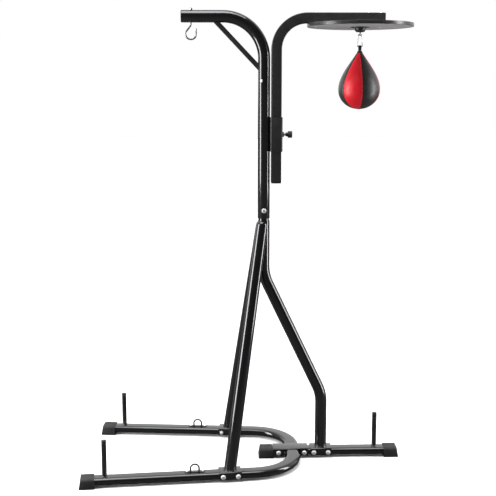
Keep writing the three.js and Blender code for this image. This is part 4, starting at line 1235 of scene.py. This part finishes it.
def seam_gap(point):
    """How far a point is from the nearest seam and from the axis, in metres, and its panel."""
    x, y = point.x - board_place.x, point.y - board_place.y
    radius = math.hypot(x, y)
    turn = (math.atan2(y, x) - SEAM_START) % (2 * math.pi)
    gap = min(abs(turn - seam) for seam in SEAMS) * radius
    panel = sum(turn >= seam for seam in SEAMS[1:])
    return gap, radius, panel


def blow_up(skin, cap):
    held = skin.vertex_groups.new(name="held")
    rest = [v.co.copy() for v in skin.data.vertices]
    for point in skin.data.vertices:
        gap, radius, panel = seam_gap(point.co)
        if gap < 0.0006 or radius < 0.02:
            held.add([point.index], 1.0, "REPLACE")
    cloth = skin.modifiers.new("Cloth", "CLOTH")
    cloth.settings.vertex_group_mass = "held"
    cloth.settings.quality = 5
    cloth.settings.mass = 0.4
    cloth.settings.tension_stiffness = 12
    cloth.settings.compression_stiffness = 12
    cloth.settings.bending_stiffness = 0.6
    cloth.settings.use_pressure = True
    cloth.settings.uniform_pressure_force = 4
    cloth.settings.effector_weights.gravity = 0
    cloth.point_cache.frame_start, cloth.point_cache.frame_end = 1, 20
    for number in range(1, 21):
        scene.frame_set(number)
    only(skin)
    bpy.ops.object.modifier_apply(modifier="Cloth")
    scene.frame_set(1)
    for point, before in zip(skin.data.vertices, rest):
        move = point.co - before
        if move.length > cap:
            point.co = before + move * (cap / move.length)
    skin.vertex_groups.clear()


blow_up(bag, 3.5 * MM)
shaped(bag, "SUBSURF", levels=1, render_levels=1)
shade = bag.data.attributes.new("seam_crease_painted_shade", "FLOAT", "POINT")
dye = bag.data.attributes.new("dyed_black", "FLOAT", "FACE")
for face in bag.data.polygons:
    dye.data[face.index].value = seam_gap(face.center)[2] % 2
for point in bag.data.vertices:
    gap, radius, panel = seam_gap(point.co)
    # painted shade: up to 0.75 darker towards each seam, where the pressed-in crease would be shadowed
    shade.data[point.index].value = 0.75 * math.exp(-((gap / 0.0016) ** 2))
    if radius > 0.012:
        inward = Vector((board_place.x - point.co.x, board_place.y - point.co.y, 0)).normalized()
        point.co += inward * 0.0022 * math.exp(-((gap / 0.0028) ** 2))
bag.name = "speed_bag"
settle(bag, panels, "bag", "bag_cover", angle=80)

collar = turned("bag_collar", [
    (0, BAG_TOP - 0.2), (8.6, BAG_TOP - 0.2), (9.8, BAG_TOP - 1), (11.4, BAG_TOP - 5),
    (13.8, BAG_TOP - 10), (13.4, BAG_TOP - 11), (9, BAG_TOP - 6), (0, BAG_TOP - 6),
], 48)
settle(moved(collar, shift=board_place), black_hide, "bag")
nub = turned("bag_valve", [
    (0, BAG_LOW + 0.1), (3.4, BAG_LOW + 0.1), (4.2, BAG_LOW + 0.7), (4.4, BAG_LOW + 2.5), (0, BAG_LOW + 2.5),
], 32)
settle(moved(nub, shift=board_place), rubber, "bag")

# %% [markdown]
# ## Nodes that stay
# Every CAD node that still shows gets a finish.

# %% Nodes that stay
for node, finish in (("clamp_pad", plastic), ("bag_bladder", rubber)):
    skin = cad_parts[node]
    skin.data.materials.clear()
    skin.data.materials.append(finish)

# %% [markdown]
# ## Floor
# A plain pale floor, wide enough to run out of sight. What the paint mirrors of it is dimmer, like
# black cards laid in front of a glossy subject.

# %% Floor
bpy.ops.object.select_all(action="DESELECT")
bpy.ops.mesh.primitive_circle_add(vertices=96, radius=30, fill_type="NGON", location=(0, 0, -0.0005))
floor = set_place(named("studio_floor"))
pale, tree, shader = paint_box("pale_floor", (0.92, 0.92, 0.92), 0.7, 0.0)
tree.links.new(
    two_tone(tree, grain(tree, 3, 4), (0.91, 0.91, 0.91), (0.94, 0.94, 0.94)), shader.inputs["Base Color"]
)
mirrored = add_node(tree, "BsdfDiffuse", Color=(0.1, 0.1, 0.1, 1))
either = add_node(tree, "MixShader")
tree.links.new(add_node(tree, "LightPath").outputs["Is Camera Ray"], either.inputs["Fac"])
tree.links.new(mirrored.outputs[0], either.inputs[1])
tree.links.new(shader.outputs[0], either.inputs[2])
floor_out = next(node for node in tree.nodes if node.type == "OUTPUT_MATERIAL")
tree.links.new(either.outputs[0], floor_out.inputs["Surface"])
floor.data.materials.append(pale)
